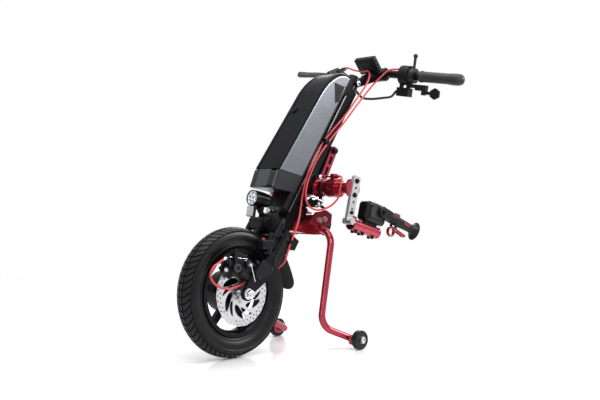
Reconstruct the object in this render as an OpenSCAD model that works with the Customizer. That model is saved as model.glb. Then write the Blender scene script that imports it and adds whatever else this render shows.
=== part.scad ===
// Front-wheel power assist that docks to the frame tubes of a manual wheelchair.
// X points to the rider's left, -Y is ahead, Z is up.
// The origin is on the floor in the middle of the footprint.

/* [Layout] */
// Distance from the front axle back to the middle of the footprint
footprint_y = 222.6; // [215:0.1:230]
// Lean of the steering column from vertical, in degrees
column_lean = 35; // [34:0.5:36]
// Offset of the axle ahead of the steering axis
fork_rake = 49; // [47:1:51]

/* [Wheel] */
// Radius of the tyre
tyre_r = 159; // [156:1:160]
// Width of the tyre
tyre_w = 57; // [52:1:60]
// Thickness of the tyre's wall
tyre_wall = 6; // [4:0.5:8]
// Number of main slanted tread grooves on each side
tread_count = 20; // [16:1:21]
// Depth of the tread grooves
tread_d = 2.6; // [2:0.2:3]
// Width of the tread grooves
tread_groove = 2.6; // [2:0.2:3]
// Slant of the tread grooves
tread_slant = 44; // [30:1:50]
// Radius of the rim's bead seat
rim_seat_r = 101.5; // [100:0.5:103]
// Outside width of the rim
rim_w = 48; // [46:1:50]
// Thickness of the rim's metal
rim_wall = 4; // [3:0.5:5]
// Height of the rim's flanges above the bead seat
rim_flange_h = 6; // [5:0.5:7]
// Depth of the well between the bead seats
rim_well_d = 5; // [4:0.5:6]
// Number of spokes
spoke_count = 6; // [5:1:8]
// Width of a spoke
spoke_w = 17; // [14:1:20]
// Thickness of a spoke along the axle
spoke_t = 12; // [8:1:16]
// Turn of the spokes at rest
spoke_turn = 18; // [0:1:60]
// Thickness of the ring that carries the spokes
hub_ring_t = 7; // [5:1:9]
// Width of the ring that carries the spokes
hub_ring_w = 24; // [18:1:28]

/* [Motor] */
// Radius of the hub motor's barrel
motor_r = 50; // [48:1:52]
// Place of the barrel's far end along the axle
motor_far_x = -40; // [-42:0.5:-38]
// Place of the joint between the barrel and its cover
motor_joint_x = 7; // [5:1:10]
// Thickness of the motor's walls
motor_wall = 5; // [4:0.5:6]
// Thickness of the magnets and the ring they are bonded in
magnet_wall = 7; // [6:0.5:9]
// Air gap between the magnets and the stator
air_gap = 1; // [0.6:0.1:1.5]
// Width of the stator along the axle
stator_w = 32; // [26:1:34]
// Number of stator teeth
tooth_count = 18; // [12:3:24]
// Depth of the stator's slots
stator_slot_d = 14; // [12:1:16]
// Width of a stator slot
stator_slot_w = 5; // [4:0.5:6]
// Radius of the boss that carries the brake rotor
rotor_boss_r = 27; // [25:1:29]
// Radius of the axle
axle_r = 6; // [5:0.5:6.5]
// Radius of the axle's shoulders
axle_shoulder_r = 9; // [8:0.5:10]
// Length of axle outside each fork blade
axle_end = 16; // [15:1:18]
// Outside radius of a hub bearing
hub_bearing_r = 14; // [13:0.5:15]
// Width of a hub bearing
hub_bearing_w = 9; // [8:0.5:10]
// Radius of an axle washer
axle_washer_r = 13; // [12:0.5:14]
// Thickness of an axle washer
axle_washer_t = 2.2; // [1.5:0.1:3]
// Corner radius of an axle nut
axle_nut_r = 11; // [10:0.5:12]
// Height of an axle nut
axle_nut_h = 10; // [8:0.5:11]

/* [Brake] */
// Radius of the brake rotor
rotor_r = 80; // [78:1:82]
// Place of the rotor's inner face along the axle
rotor_x = 33; // [32:0.5:34]
// Thickness of the rotor
rotor_t = 2; // [1.6:0.1:2.2]
// Width of the rotor's braking band
rotor_band = 17; // [15:1:19]
// Number of swept arms on the rotor
rotor_arms = 6; // [5:1:7]
// Width of a swept arm
rotor_arm_w = 9; // [7:1:11]
// Sweep of a rotor arm, in degrees
rotor_arm_sweep = 28; // [24:1:32]
// Holes around each row of the braking band
rotor_holes = 24; // [18:1:30]
// Radius of a braking band hole
rotor_hole_r = 2.1; // [1.5:0.1:2.4]
// Angle of the caliper around the axle, from straight back over the top
caliper_angle = 118; // [116:1:120]
// Length of the caliper along the rotor's edge
caliper_l = 52; // [46:1:56]
// Depth of the caliper over the rotor's edge
caliper_d = 30; // [28:1:32]
// Width of the caliper along the axle
caliper_w = 26; // [25:0.5:27]
// Thickness of a brake pad
pad_t = 3.4; // [3:0.1:3.6]
// Length of the caliper's arm
caliper_arm_l = 40; // [36:1:42]
// Angle of the caliper's arm from straight out, in degrees
caliper_arm_turn = -28; // [-30:1:-26]
// Thickness of the caliper's arm
caliper_arm_t = 5; // [4:0.5:5.5]
// Radius of the caliper's pad adjuster
caliper_knob_r = 10; // [9:0.5:11]

/* [Fork] */
// Distance from the wheel's centre plane to a blade's inner face
blade_x = 50; // [49:0.5:52]
// Thickness of a fork blade
blade_t = 8; // [7:0.5:9]
// Radius of a dropout around the axle
dropout_r = 17; // [16:0.5:18]
// Underside of the crown along the steering axis
crown_s = 168; // [167:0.5:169]
// Height of the crown
crown_h = 28; // [26:1:29]
// Depth of the crown ahead of and behind the steering axis
crown_d = 48; // [44:1:52]
// Radius of the steerer tube
steerer_r = 11.1; // [10.8:0.1:11.2]
// Wall of the steerer tube
steerer_wall = 2.2; // [2:0.1:3]
// Top of the steerer along the steering axis
steerer_top_s = 712; // [708:1:716]
// Gap between the tyre and the mudguard
mudguard_gap = 11; // [10:0.5:12]
// Thickness of the mudguard
mudguard_t = 2.5; // [2:0.5:3]
// Width of the mudguard
mudguard_w = 62; // [56:1:66]
// Angle of the mudguard's tail on its curve
mudguard_low = 12.6; // [11:0.2:14]
// Radius of the mudguard's curve, which leaves the tyre towards the tail
mudguard_r = 286; // [270:1:300]
// Angle of the mudguard's upper end, where it follows the tyre
mudguard_high = 38; // [36:1:39]

/* [Lamp] */
// Distance of the lamp's front behind the axle
lamp_y = 64; // [62:1:66]
// Height of the lamp's front centre
lamp_z = 388; // [386:1:389]
// Length of the lamp
lamp_l = 66; // [62:1:68]
// Radius of the lamp's front
lamp_r = 20; // [18:0.5:20.5]
// Radius of the lamp's back
lamp_back_r = 11; // [9:0.5:13]
// Upward tilt of the lamp, in degrees
lamp_tilt = 10; // [6:1:12]
// Thickness of the lamp's shell
lamp_wall = 2; // [1.5:0.5:2.5]
// Thickness of the lamp's lens
lens_t = 2; // [1.5:0.5:3]
// Drop from the lamp's axis to its pivot
lamp_drop = 26; // [24:1:27]
// Radius of the lamp's pivot pin
lamp_pin_r = 3; // [2.5:0.1:3.2]
// Width of the lamp's bracket
lamp_lug_w = 10; // [8:1:12]
// Side of the front reflector
reflector_w = 27; // [24:1:30]
// Thickness of the front reflector
reflector_t = 11; // [9:1:13]

/* [Column] */
// Bottom end of the column along the steering axis
column_s = 197; // [196.7:0.1:197.5]
// Top end of the column along the steering axis
column_top_s = 668; // [664:1:669]
// Half width of the column
column_w = 20; // [19:0.5:20.5]
// Distance from the steering axis to the column's front
column_front = 17; // [16.5:0.5:18]
// Distance from the steering axis to the column's back
column_back = 18; // [17.5:0.5:19]
// Chamfer on the column's back edges
column_chamfer = 5; // [3:0.5:6]
// Thickness of the bright strip on the column's front
strip_t = 4; // [3:0.5:5]
// Overhang of the bright strip on each side
strip_lip = 1.5; // [1:0.25:2]
// Outside radius of a headset bearing
head_bearing_r = 14.2; // [13.9:0.1:14.4]
// Height of a headset bearing
head_bearing_h = 9; // [8:0.5:10]

/* [Battery] */
// Distance from the steering axis to the battery's back
pack_back = 50; // [49:0.5:51]
// Distance from the steering axis to the battery's front
pack_front = 132; // [128:1:134]
// Half width of the battery's case
case_w = 41; // [40:0.5:42]
// Thickness of a glossy side panel
panel_t = 3; // [2.5:0.5:4]
// Thickness of the case's walls
case_wall = 3; // [2.5:0.25:3.25]
// Lowest point of the battery's back along the steering axis
pack_s = 294; // [292:1:296]
// Drop of the battery's front below its back
pack_drop = 34; // [30:1:36]
// Height of the lower cap
cap_h = 50; // [46:1:54]
// Top of the battery along the steering axis
pack_top_s = 673; // [668:1:676]
// Height of the battery's rounded top
pack_dome_h = 128; // [120:1:134]
// Lean-back of the battery's front between its cap and its rounded top
pack_taper = 10; // [8:1:12]
// Radius of a cell
cell_r = 9; // [8.5:0.1:9.1]
// Length of a cell
cell_l = 62; // [58:1:63]
// Rows of cells along the battery
cell_rows = 12; // [10:1:12]
// Radius of the key lock
key_r = 8; // [7:0.5:9]
// Place of the key lock along the steering axis
key_s = 506; // [500:1:512]
// Distance of the key lock to the right of the middle
key_x = 17; // [15:1:19]
// Half width of the dock
dock_w = 30; // [28:1:32]
// Half width of the dock's narrow foot against the column
dock_foot_w = 17; // [15:0.5:18]
// Depth of the dock's narrow foot
dock_foot_d = 13; // [11:0.5:14]
// Top of the dock along the steering axis
dock_top_s = 640; // [630:1:650]
// Half width of the battery's rail
rail_w = 10; // [9:0.5:11]
// Half width of the rail's neck
rail_neck_w = 6; // [5:0.5:7]
// Depth of the rail behind the battery
rail_d = 6; // [5.5:0.5:7]
// Length of the controller in the dock
controller_l = 80; // [70:1:84]

/* [Stand] */
// Distance of the stand's hinge behind the axle
stand_y = 258; // [256:1:260]
// Height of the stand's hinge
stand_z = 304; // [302:1:306]
// Radius of the stand's tube
stand_r = 9; // [8:0.5:9.5]
// Radius of the stand's bends
stand_bend_r = 42; // [38:1:44]
// Distance from the middle to a leg
leg_x = 93; // [90:1:96]
// Lean of a leg ahead of vertical, in degrees
leg_lean = 10.5; // [10:0.5:11]
// Height of the bend above a foot
ankle_z = 62; // [58:1:66]
// Radius of a roller
roller_r = 25; // [24:0.5:26]
// Width of a roller
roller_w = 18; // [16:1:20]
// Distance from the middle to a roller's inner face
roller_x = 142; // [140:1:144]
// Distance of the rollers behind the axle
roller_y = 297; // [292:1:302]
// Radius of a roller's pin
roller_pin_r = 5; // [4:0.5:6]
// Radius of the button that keeps a roller on
roller_head_r = 8; // [7:0.5:9]
// Height of the button that keeps a roller on
roller_head_h = 3; // [2:0.5:4]
// Foot of the stand's bracket along the steering axis
bracket_s = 222; // [218:1:226]
// Half width of the bracket between the gusset plates
bracket_w = 46; // [44:1:48]
// Thickness of a gusset plate
gusset_t = 5; // [4:0.5:6]
// Length of the gusset plates behind the hinge
gusset_back = 44; // [40:1:48]
// Height of the gusset plates above the hinge
gusset_top = 50; // [46:1:54]

/* [Coupling] */
// Place of the cross tube along the steering axis
cross_s = 369; // [366:1:372]
// Radius of the cross tube
cross_r = 20; // [19:0.5:21]
// Radius of the shaft in the cross tube
shaft_r = 12.5; // [11.5:0.5:13]
// Half length of the cross tube without its collars
cross_half = 64; // [60:1:68]
// Length of a collar
collar_l = 30; // [26:1:32]
// Radius of a collar
collar_r = 24; // [23:0.5:25]
// Radius of the shaft's end outside the collar
shaft_end_r = 15; // [14:0.5:16]
// Distance from the middle to an arm's centre
arm_x = 146; // [143:1:149]
// Droop of the arms, in degrees
arm_droop = 15; // [13:0.5:17]
// Width of a hanger bar
hanger_w = 25; // [22:1:27]
// Thickness of a hanger bar
hanger_t = 9; // [8:0.5:10]
// Distance between the holes of a hanger bar
hanger_step = 18.3; // [17:0.1:19]
// Radius of a hole in a hanger bar
hanger_hole_r = 3.5; // [3:0.1:4]
// Distance from the shaft down to the knuckle of a hanger bar
knuckle_drop = 86; // [83:1:89]
// Radius of the knuckle
knuckle_r = 9; // [8:0.5:10]
// Length of the knuckle
knuckle_l = 28; // [24:1:32]
// Outside radius of a clamp sleeve
sleeve_r = 15; // [14.5:0.5:16]
// Wall of a clamp sleeve
sleeve_wall = 3; // [2.5:0.5:3.5]
// Length of a clamp sleeve
sleeve_l = 104; // [98:1:108]
// Width of the slit along a clamp sleeve
slit_w = 10; // [9:0.5:11]
// Thickness of a link plate
link_t = 5; // [4:0.5:6]
// Width of a link plate
link_w = 24; // [20:1:26]
// Place of the link's upper bolt along the steering axis
link_s = 482; // [478:1:486]
// Radius of the latch rod
latch_r = 2.5; // [2:0.1:3]

/* [Claw] */
// Length of a claw housing
claw_l = 72; // [70:1:75]
// Height of a claw housing
claw_h = 54; // [52:1:56]
// Width of a claw housing
claw_w = 40; // [38:1:41]
// Chamfer on the claw housing's corners
claw_chamfer = 11; // [9:0.5:12]
// Radius of the docking socket
socket_r = 8.1; // [7.6:0.1:8.6]
// Depth of the docking socket
socket_d = 50; // [46:1:54]
// Radius of the pin that carries a lever handle
lever_pin_r = 6; // [5:0.5:7]
// Radius of the lever handle's boss
lever_boss_r = 15; // [14:0.5:16]
// Thickness of the lever handle's boss
lever_boss_t = 9; // [8:0.5:10]
// Length of the grip from the pin to its end
grip_reach = 154; // [150:1:158]
// Height of the grip
lever_grip_h = 27; // [25:1:28]
// Width of the grip
lever_grip_w = 26; // [25:1:28]
// Height of the flare at the grip's end
flare_h = 50; // [46:1:54]
// Length of a trigger
trigger_l = 52; // [48:1:56]
// Width of a trigger
trigger_w = 12; // [10:1:14]
// Travel of a release button
button_travel = 3; // [2:0.5:3]

/* [Cockpit] */
// Distance of the handlebar's middle behind the axle
bar_y = 560; // [556:1:564]
// Height of the handlebar's middle
bar_z = 735; // [732:1:738]
// Radius of the handlebar
bar_r = 11.1; // [10.6:0.1:11.3]
// Half length of the handlebar's straight middle
bar_flat = 33; // [33:1:36]
// Length of a handlebar end from its bend
bar_end_l = 230; // [226:1:234]
// Backward sweep of the handlebar's ends, in degrees
bar_sweep = 7; // [5:0.5:9]
// Droop of the handlebar's ends, in degrees
bar_droop = 8.5; // [7:0.5:10]
// Radius of the handlebar's bends
bar_bend_r = 60; // [50:1:70]
// Radius of a grip
grip_r = 16.5; // [15.5:0.5:17]
// Distance along the bar to the start of a grip
grip_start = 104; // [103:1:108]
// Half width of the stem's arm
stem_w = 14; // [12:1:15]
// Height of the stem's arm
stem_h = 24; // [20:1:28]
// Radius of the stem around the steerer
stem_base_r = 19; // [18:0.5:20]
// Place of the stem's cross bolt along the steering axis
stem_bolt_s = 693; // [691:1:695]
// Radius of the stem's cross bolt heads
stem_bolt_r = 9; // [8:0.5:10]
// Distance of the display's middle in front of the handlebar
display_fore = 55; // [52:1:58]
// Height of the display's middle above the handlebar
display_rise = 27; // [24:1:30]
// Width of the display
display_w = 66; // [60:1:72]
// Depth of the display
display_d = 46; // [42:1:50]
// Thickness of the display
display_t = 15; // [12:1:17]
// Tilt of the display toward the rider, in degrees
display_tilt = 30; // [26:1:34]
// Angle of the brake lever above the handlebar, in degrees
brake_lift = 32; // [30:1:34]
// Length of the brake lever's blade along the bar
brake_blade_l = 96; // [92:1:100]
// Radius of the control pod's round body
pod_r = 27; // [25:0.5:28]
// Radius of the lock lever's hub
lock_hub_r = 21; // [19:0.5:22]
// Length of the lock lever from the bar's axis to its ball
lock_lever_l = 55; // [51:1:58]
// Radius of the lock lever's ball
lock_ball_r = 6.5; // [5.5:0.5:7]
// Radius of the thumb paddle's pad
paddle_r = 16; // [14:0.5:17]

/* [Cables] */
// Radius of a red control cable
cable_r = 2.5; // [2:0.1:2.6]
// Radius of the black harness cable
harness_r = 3.4; // [3:0.1:3.6]

/* [Clearances] */
// Gap between surfaces that move past each other
run_gap = 0.4; // [0.3:0.05:0.5]
// Gap of a bearing, pin or seat
fit_gap = 0.1; // [0.08:0.01:0.15]

/* [Hidden] */
$fn = 48;

// Overrun of a cut past the face it opens
over = 1;
// Small step between neighbouring edges
edge = 2;
// Number of straight steps along a moulded curve
curve_steps = 16;

// Steering column frame: s runs up the axis, t runs back from it
column_base = [0, fork_rake * cos(column_lean), tyre_r - fork_rake * sin(column_lean)];
column_up = [0, sin(column_lean), cos(column_lean)];
column_aft = [0, cos(column_lean), -sin(column_lean)];
crown_top_s = crown_s + crown_h;
strip_front = column_front + strip_t;
cross_t = column_back + cross_r;
cross = column_base + cross_s * column_up + cross_t * column_aft;
stem_bolt = column_base + stem_bolt_s * column_up;

// Handlebar end frame: local x points down, y points back, z points out along the bar
bar_turn = 90 + bar_droop;
bar_corner = [bar_flat, bar_y, bar_z];
bar_down = [cos(bar_turn) * cos(bar_sweep), cos(bar_turn) * sin(bar_sweep), -sin(bar_turn)];
bar_aft = [-sin(bar_sweep), cos(bar_sweep), 0];
bar_out = [sin(bar_turn) * cos(bar_sweep), sin(bar_turn) * sin(bar_sweep), cos(bar_turn)];
bar_end = bar_corner + bar_end_l * bar_out;

// Tyre and rim section
tyre_h = tyre_r - rim_seat_r;
tyre_mid_r = tyre_r - tyre_h / 2;
bead_x = rim_w / 2 - rim_wall - run_gap;
foot_r = rim_seat_r + fit_gap;
flange_r = rim_seat_r + rim_flange_h;
neck_r = flange_r + run_gap;
well_r = rim_seat_r - rim_well_d;
wall_low = -44;
tread_x = 5;
tread_slope = 24;
tread_l = tyre_w / 2;
section_power = 0.8;

// Motor
cover_x = motor_joint_x + motor_wall;
magnet_r = motor_r - magnet_wall;
stator_r = magnet_r - air_gap;
stator_x = (motor_far_x + hub_bearing_w + motor_joint_x) / 2;
hub_bore_r = hub_bearing_r + fit_gap;
rotor_bore_r = hub_bearing_r + run_gap;

// Caliper frame: y runs out from the axle, z runs around it
caliper_over_share = 0.27;
caliper_out = rotor_r + caliper_over_share * caliper_d;
caliper_in = caliper_out - caliper_d;
caliper_x = blade_x - caliper_w;
slot_x0 = rotor_x - run_gap - pad_t;
slot_x1 = rotor_x + rotor_t + run_gap + pad_t;
slot_out = (caliper_out + rotor_r) / 2;
pad_in = caliper_in + pad_t;
pad_half_l = caliper_l / 4;
caliper_y = (caliper_in + caliper_out) / 2;
caliper_pin_r = caliper_knob_r / 2;
arm_x0 = blade_x + run_gap;
arm_x1 = arm_x0 + caliper_arm_t;
knob_x0 = arm_x1 + run_gap;
lug_c_y = caliper_y + caliper_arm_l - cable_r;
lug_c_half = 2 * cable_r;
lug_c_z0 = lug_c_half + over;
lug_c_z1 = lug_c_z0 + 2 * lug_c_half;
adapter_t = 5;
adapter = [[-34, 46], [24, 24], [44, 40], [34, 62], [-14, 84]];

// Fork blade outline in (t, s), from the crown to the dropout
blade_front = 32;
blade_back = 7;
knee_s = 88;
nose_t = 62;
nose_s = 62;
blade_outline = [[-blade_front, crown_top_s], [blade_back, crown_top_s], [0, knee_s],
    [dropout_r - fork_rake, dropout_r], [dropout_r - fork_rake, 0], [-dropout_r - fork_rake, 0],
    [-nose_t, nose_s], [-blade_front, crown_s - crown_h]];
strut_r = 4.5;
strut_t = 50;
strut_s0 = 112;
strut_s1 = 214;
strut_lug_h = 9;

// Lamp pivot
lamp_mid = lamp_l / 2;
lamp_pin_y = lamp_y + lamp_mid * cos(lamp_tilt) - lamp_drop * sin(lamp_tilt);
lamp_pin_z = lamp_z - lamp_mid * sin(lamp_tilt) - lamp_drop * cos(lamp_tilt);
lamp_pin_d = [0, lamp_pin_y, lamp_pin_z] - column_base;
lamp_pin_t = lamp_pin_d * column_aft;
lamp_pin_s = lamp_pin_d * column_up;
lamp_lug_r = 2 * lamp_pin_r;
lamp_ear_t = lamp_pin_r + run_gap;
lamp_ear_x = lamp_lug_w / 2 + run_gap;
lens_y = lamp_wall / 2;
lamp_shares = [0.25, 0.4, 0.55, 0.9];

// Battery outline in (t, s)
dome_front = pack_front - pack_taper;
dome_s = pack_top_s - pack_dome_h;
cap_back_s = pack_s + cap_h;
cap_front_s = cap_back_s - pack_drop;
rail_s0 = cap_back_s + rail_d;
rail_s1 = dock_top_s - 2 * cap_h;
dock_front = pack_back - run_gap;
dock_step = strip_front + dock_foot_d;
dock_s = pack_s - pack_drop - rail_w;
rail_lip = rail_d / 2;
cell_pitch = 2 * cell_r + 2 * fit_gap;
cell_cols = 4;
cell_t = pack_back + case_wall + fit_gap;
cell_s = cap_back_s + case_wall + 2 * cell_r;
controller_w = dock_foot_w - case_wall;
controller_s = dock_s + case_wall;
key_proud = 3;
key_l = 9;
key_front = pack_front - pack_taper * (key_s - cap_front_s) / (dome_s - cap_front_s) + key_proud;

// Stand
bend_lap = 2;
ankle_y = stand_y - (stand_z - ankle_z) * tan(leg_lean);
foot_x = roller_x - 2 * stand_r;
foot_end = [foot_x, roller_y, roller_r];
ankle = [leg_x, ankle_y, ankle_z];
hip = [leg_x, stand_y, stand_z];
roller_x0 = roller_x + run_gap;
roller_x1 = roller_x0 + roller_w;
gusset_x1 = bracket_w + gusset_t;
plate_low = stand_r + edge;
bolt_r = 4;
bolt_head_r = 7;
bolt_head_h = 4;
bolt_grip = 10;
gusset_bolts = [[-4, 24], [16, 26]];

// Coupling
bore_r = shaft_r + run_gap;
collar_x1 = cross_half + collar_l;
shaft_end_x = arm_x - hanger_t / 2;
flange_t = 6;
shaft_flange_r = hanger_step + 2 * hanger_hole_r;
hanger_top = hanger_step + hanger_w / 2;
hanger_chamfer = 4;
sleeve_drop = 5;
sleeve_z = -knuckle_drop - sleeve_drop;
sleeve_y0 = knuckle_r + fit_gap;
sleeve_y1 = sleeve_y0 + sleeve_l;
sleeve_bore_r = sleeve_r - sleeve_wall;
slit_start = 2 * sleeve_r;
ear_w = 12;
ear_top = sleeve_r + 2 * sleeve_wall;
screw_head_r = 6.5;
screw_head_h = 3;
link_x0 = column_w + fit_gap;
link_ring_r = cross_r + link_t;
link_t0 = column_back + 2 * bolt_r;
link_d = [link_t0 - cross_t, link_s - cross_s];
link_l = norm(link_d);
link_turn = atan2(link_d[0], link_d[1]);
link_slots = [[0.34, 0.56], [0.64, 0.84]];
link_slot_half = 5;
latch_y = -8;
latch_z = collar_r + 2 * latch_r + run_gap;
latch_travel = 6;
lug_x0 = cross_half + 2 * latch_travel;
lug_l = 2 * latch_travel;
lug_half = 3 * latch_r;
latch_x0 = link_x0 + link_t + latch_r;
latch_x1 = lug_x0 + 3 * latch_r / 2;
latch_head_r = 2 * latch_r + over;
latch_head_l = 8;
adjuster_r = cable_r + edge;
adjuster_l = 10;

// Claw in the arm frame
claw_z0 = sleeve_z + sleeve_r + sleeve_wall;
claw_z1 = claw_z0 + claw_h;
claw_y0 = sleeve_y0 + sleeve_l / 3;
claw_y1 = claw_y0 + claw_l;
slide_r = sleeve_bore_r - run_gap;
slide_y0 = claw_y0 - sleeve_drop;
slide_y1 = sleeve_y1 + sleeve_drop;
claw_neck_half = slit_w / 2 - run_gap;
claw_neck_y0 = claw_y0 + claw_chamfer;
claw_neck_y1 = claw_y1 - claw_chamfer;
socket_wall = 4;
socket_x = socket_r + socket_wall - claw_w / 2;
socket_z = (claw_z0 + claw_z1) / 2;
lever_y = claw_y1 - lever_boss_r - sleeve_drop;
lever_z = claw_z1 - lever_boss_r - sleeve_drop;
lever_x0 = claw_w / 2 + run_gap;
lever_x1 = lever_x0 + lever_boss_t;
grip_droop = 5;
grip_x0 = lever_x1 - lever_grip_w;
grip_x = (grip_x0 + lever_x1) / 2;
grip_y0 = 2 * lever_boss_r + edge;
grip_half = lever_grip_h / 2;
flare_l = 14;
flare_lip = 4;
flare_share = 0.4;
flare_up = flare_share * flare_h;
flare_down = flare_h - flare_up;
grip_y1 = grip_reach - flare_l;
grip_shape = [[grip_y0, -grip_half], [grip_y0, grip_half], [grip_y1, grip_half - edge],
    [grip_reach - flare_lip, flare_up], [grip_reach, flare_up - flare_lip], [grip_reach,
        flare_lip - flare_down],
    [grip_reach - flare_lip, -flare_down], [grip_y1, edge - grip_half]];
guard_r = 13;
guard_wall = 4;
guard_w = 8;
guard_y = grip_y0 + guard_r - over;
guard_z = guard_wall - over - grip_half - guard_r;
trigger_y = guard_y + guard_r + guard_wall + edge;
trigger_pin_r = 2.5;
trigger_r = 4.5;
trigger_z = -grip_half - trigger_r - run_gap;
trigger_half = trigger_w / 2;
trigger_lug = 4;
trigger_top = trigger_z + trigger_r;
trigger_squeeze = 8;
trigger_end = trigger_top - trigger_l * tan(trigger_squeeze);
button_y0 = guard_y + guard_r;
button_l = 19;
button_w = 13;
button_proud = 5;
pocket_d = 8;

// Cockpit
clamp_wall = 6;
pod_z0 = 44;
pod_z1 = 71;
lock_z0 = pod_z1 + run_gap;
lock_w = 16;
lock_z1 = lock_z0 + lock_w;
bridge_t = 10;
bridge_x0 = lock_hub_r + edge;
bridge_x1 = bridge_x0 + bridge_t;
pod_half = 8;
pod_end_z = 128;
throttle_z0 = 94;
throttle_x1 = bridge_x1 + clamp_wall;
switch_x0 = bridge_x1 + edge;
switch_h = 24;
post_l = 5;
switch_z0 = pod_z0 - post_l;
switch_z1 = pod_z1 + post_l;
switch_half = 13;
paddle_pin_r = 2.5;
paddle_hub_r = 7;
paddle_h = 9;
paddle_z = pod_end_z - paddle_hub_r - edge;
paddle_x0 = throttle_x1 + run_gap;
paddle_x1 = paddle_x0 + paddle_h;
paddle_pin_x1 = paddle_x1 + run_gap + edge;
paddle_mid_x = (paddle_x0 + paddle_x1) / 2;
paddle_reach = 36;
paddle_t = 7;
paddle_arm_half = 3.5;
lock_arm_r = 4;
brake_clamp_w = 20;
brake_z1 = grip_start - over;
brake_z0 = brake_z1 - brake_clamp_w;
brake_y = -58;
brake_reach = 26;
brake_pin_z = grip_start + brake_reach;
brake_half = 8;
brake_slot = 4.4;
brake_lever_half = 4;
brake_pin_r = 3;
brake_hub_r = 8;
barrel_r = 6;
barrel_z0 = 52;
brake_blade_rise = 42;
blade_root_w = 13;
blade_tip_w = 10;
display_y = bar_y - display_fore;
display_z = bar_z + display_rise;
stem_wall = 8;
stem_clamp_r = bar_r + stem_wall;
stem_clamp_w = 20;
stem_dir = [bar_y - stem_bolt.y, bar_z - stem_bolt.z];
stem_unit = stem_dir / norm(stem_dir);
stem_rise = stem_h / 2 * [-stem_unit[1], stem_unit[0]];
stem_root = [stem_bolt.y, stem_bolt.z];
stem_tip = [bar_y, bar_z];
stem_boss_x = stem_base_r + over;

// Cable routes as points chosen along the real runs, measured from the axle's foot on the floor
cable_x = (arm_x0 + arm_x1) / 2;
cable_gap = 1;
cable_lead = 9;
cable_round = lug_c_z1 + cable_gap;
cable_y = lug_c_y * cos(caliper_angle) - cable_round * sin(caliper_angle);
cable_z = tyre_r + lug_c_y * sin(caliper_angle) + cable_round * cos(caliper_angle);
brake_lift_y = brake_y * cos(brake_lift);
brake_lift_x = brake_y * sin(brake_lift);
brake_exit = bar_corner + brake_lift_x * bar_down + brake_lift_y * bar_aft + (barrel_z0 - fit_gap) * bar_out;
brake_route = concat([for (p = straight(brake_exit, -bar_out)) [-p.x, p.y, p.z]], [
    [-60, 516, 750], [-24, 508, 742], [2, 502, 741], [20, 490, 726], [27, 466, 696],
    [29, 420, 650], [29, 376, 606], [28, 320, 558], [28, 268, 506], [28, 232, 446],
    [36, 206, 390], [58, 172, 336], [64, 150, 300], [64, 132, 266], [62, 125, 246], [54, 122, 226],
    [44, 102, 208], [41, 70, 196], [41, 30, 186], [42, -8, 180], [48, -38, 176],
    [56, -76, 178], [60, -106, 192], [60, -118, 211], [58, -108, 229], [55, -88, 239],
    [cable_x, cable_y, cable_z]]);
lock_up = 14;
lock_fore = 16;
lock_exit = bar_corner - lock_up * bar_down - lock_fore * bar_aft + (pod_z0 - fit_gap) * bar_out;
lock_end = [lug_x0 + lug_l + adjuster_l + fit_gap, cross.y + latch_y, cross.z + latch_z];
lock_route = concat(straight(lock_exit, -bar_out), [
    [48, 540, 742], [31, 520, 720], [30, 492, 698], [34, 458, 672], [36, 412, 632], [35, 368, 588],
    [34, 312, 538], [34, 262, 486], [34, 228, 428], [48, 206, 388], [68, 200, 364],
    [88, 214, 356], [106, 236, 366], [120, 249, 386], [125, 252, 410], [121, 262, 431]],
    reversed(straight(lock_end, [1, 0, 0])));
harness_exit = bar_corner + (switch_x0 + switch_h / 2) * bar_down + (switch_z0 - fit_gap) * bar_out;
harness_end = column_base + (stem_bolt_s - bolt_head_h) * column_up + (stem_base_r + fit_gap) * column_aft;
harness_route = concat(straight(harness_exit, -bar_out),
    [[44, 556, 670], [26, 540, 666], [10, 508, 662], [3, 478, 664]],
    reversed(straight(harness_end, column_aft)));
cable_sides = 8;
cable_steps = 3;

// Two points that lead a cable straight out of its end
function straight(end, way) = [end, end + cable_lead * way];

// Unit vector along v
function unit(v) = v / norm(v);

// Point on a smooth curve through p1 and p2 at share u, with p0 and p3 beyond them
function curve_point(p0, p1, p2, p3, u) =
    0.5 * (2 * p1 + (p2 - p0) * u + (2 * p0 - 5 * p1 + 4 * p2 - p3) * u * u
    + (3 * p1 - p0 - 3 * p2 + p3) * u * u * u);

// Smooth run of points through a route
function smooth(route) = let (last = len(route) - 1) concat(
    [for (i = [0 : last - 1]) for (k = [0 : cable_steps - 1])
        curve_point(route[max(i - 1, 0)], route[i], route[i + 1], route[min(i + 2, last)],
            k / cable_steps)],
    [route[last]]);

// Normals carried along a run of directions without twist
function carried(dirs, normal, i = 0) = i == len(dirs) ? [] :
    let (n = unit(normal - (normal * dirs[i]) * dirs[i])) concat([n], carried(dirs, n, i + 1));

// Signed power that squares off a round section
function bulge(v) = sign(v) * pow(abs(v), section_power);

// Point of the tyre's section at angle a, moved in by inset
function wall_point(a, inset) = [tyre_mid_r + (tyre_h / 2 - inset) * bulge(sin(a)),
    (tyre_w / 2 - inset) * bulge(cos(a))];

// Run of the tyre's wall from one bead over the tread to the other
function wall_run(inset) = [for (i = [0 : 2 * curve_steps])
    wall_point(wall_low + (180 - 2 * wall_low) * i / (2 * curve_steps), inset)];

// Same points in the opposite order
function reversed(points) = [for (i = [len(points) - 1 : -1 : 0]) points[i]];

// Battery outline above the cap in (t, s), moved in by inset
function case_outline(inset) = concat(
    [[-pack_back - inset, cap_back_s + inset], [-pack_back - inset, pack_top_s - inset]],
    [for (i = [1 : curve_steps]) let (a = 90 + 90 * i / curve_steps)
        [-pack_back - inset + (dome_front - pack_back - 2 * inset) * cos(a),
        dome_s + (pack_dome_h - inset) * sin(a)]],
    [[-pack_front + inset, cap_front_s + inset]]);

// Moves the axle's foot on the floor ahead of the origin
module whole() { at(-footprint_y, 0) children(); }
// Frame at the axle's centre
module on_axle() { whole() up(tyre_r) children(); }
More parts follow.
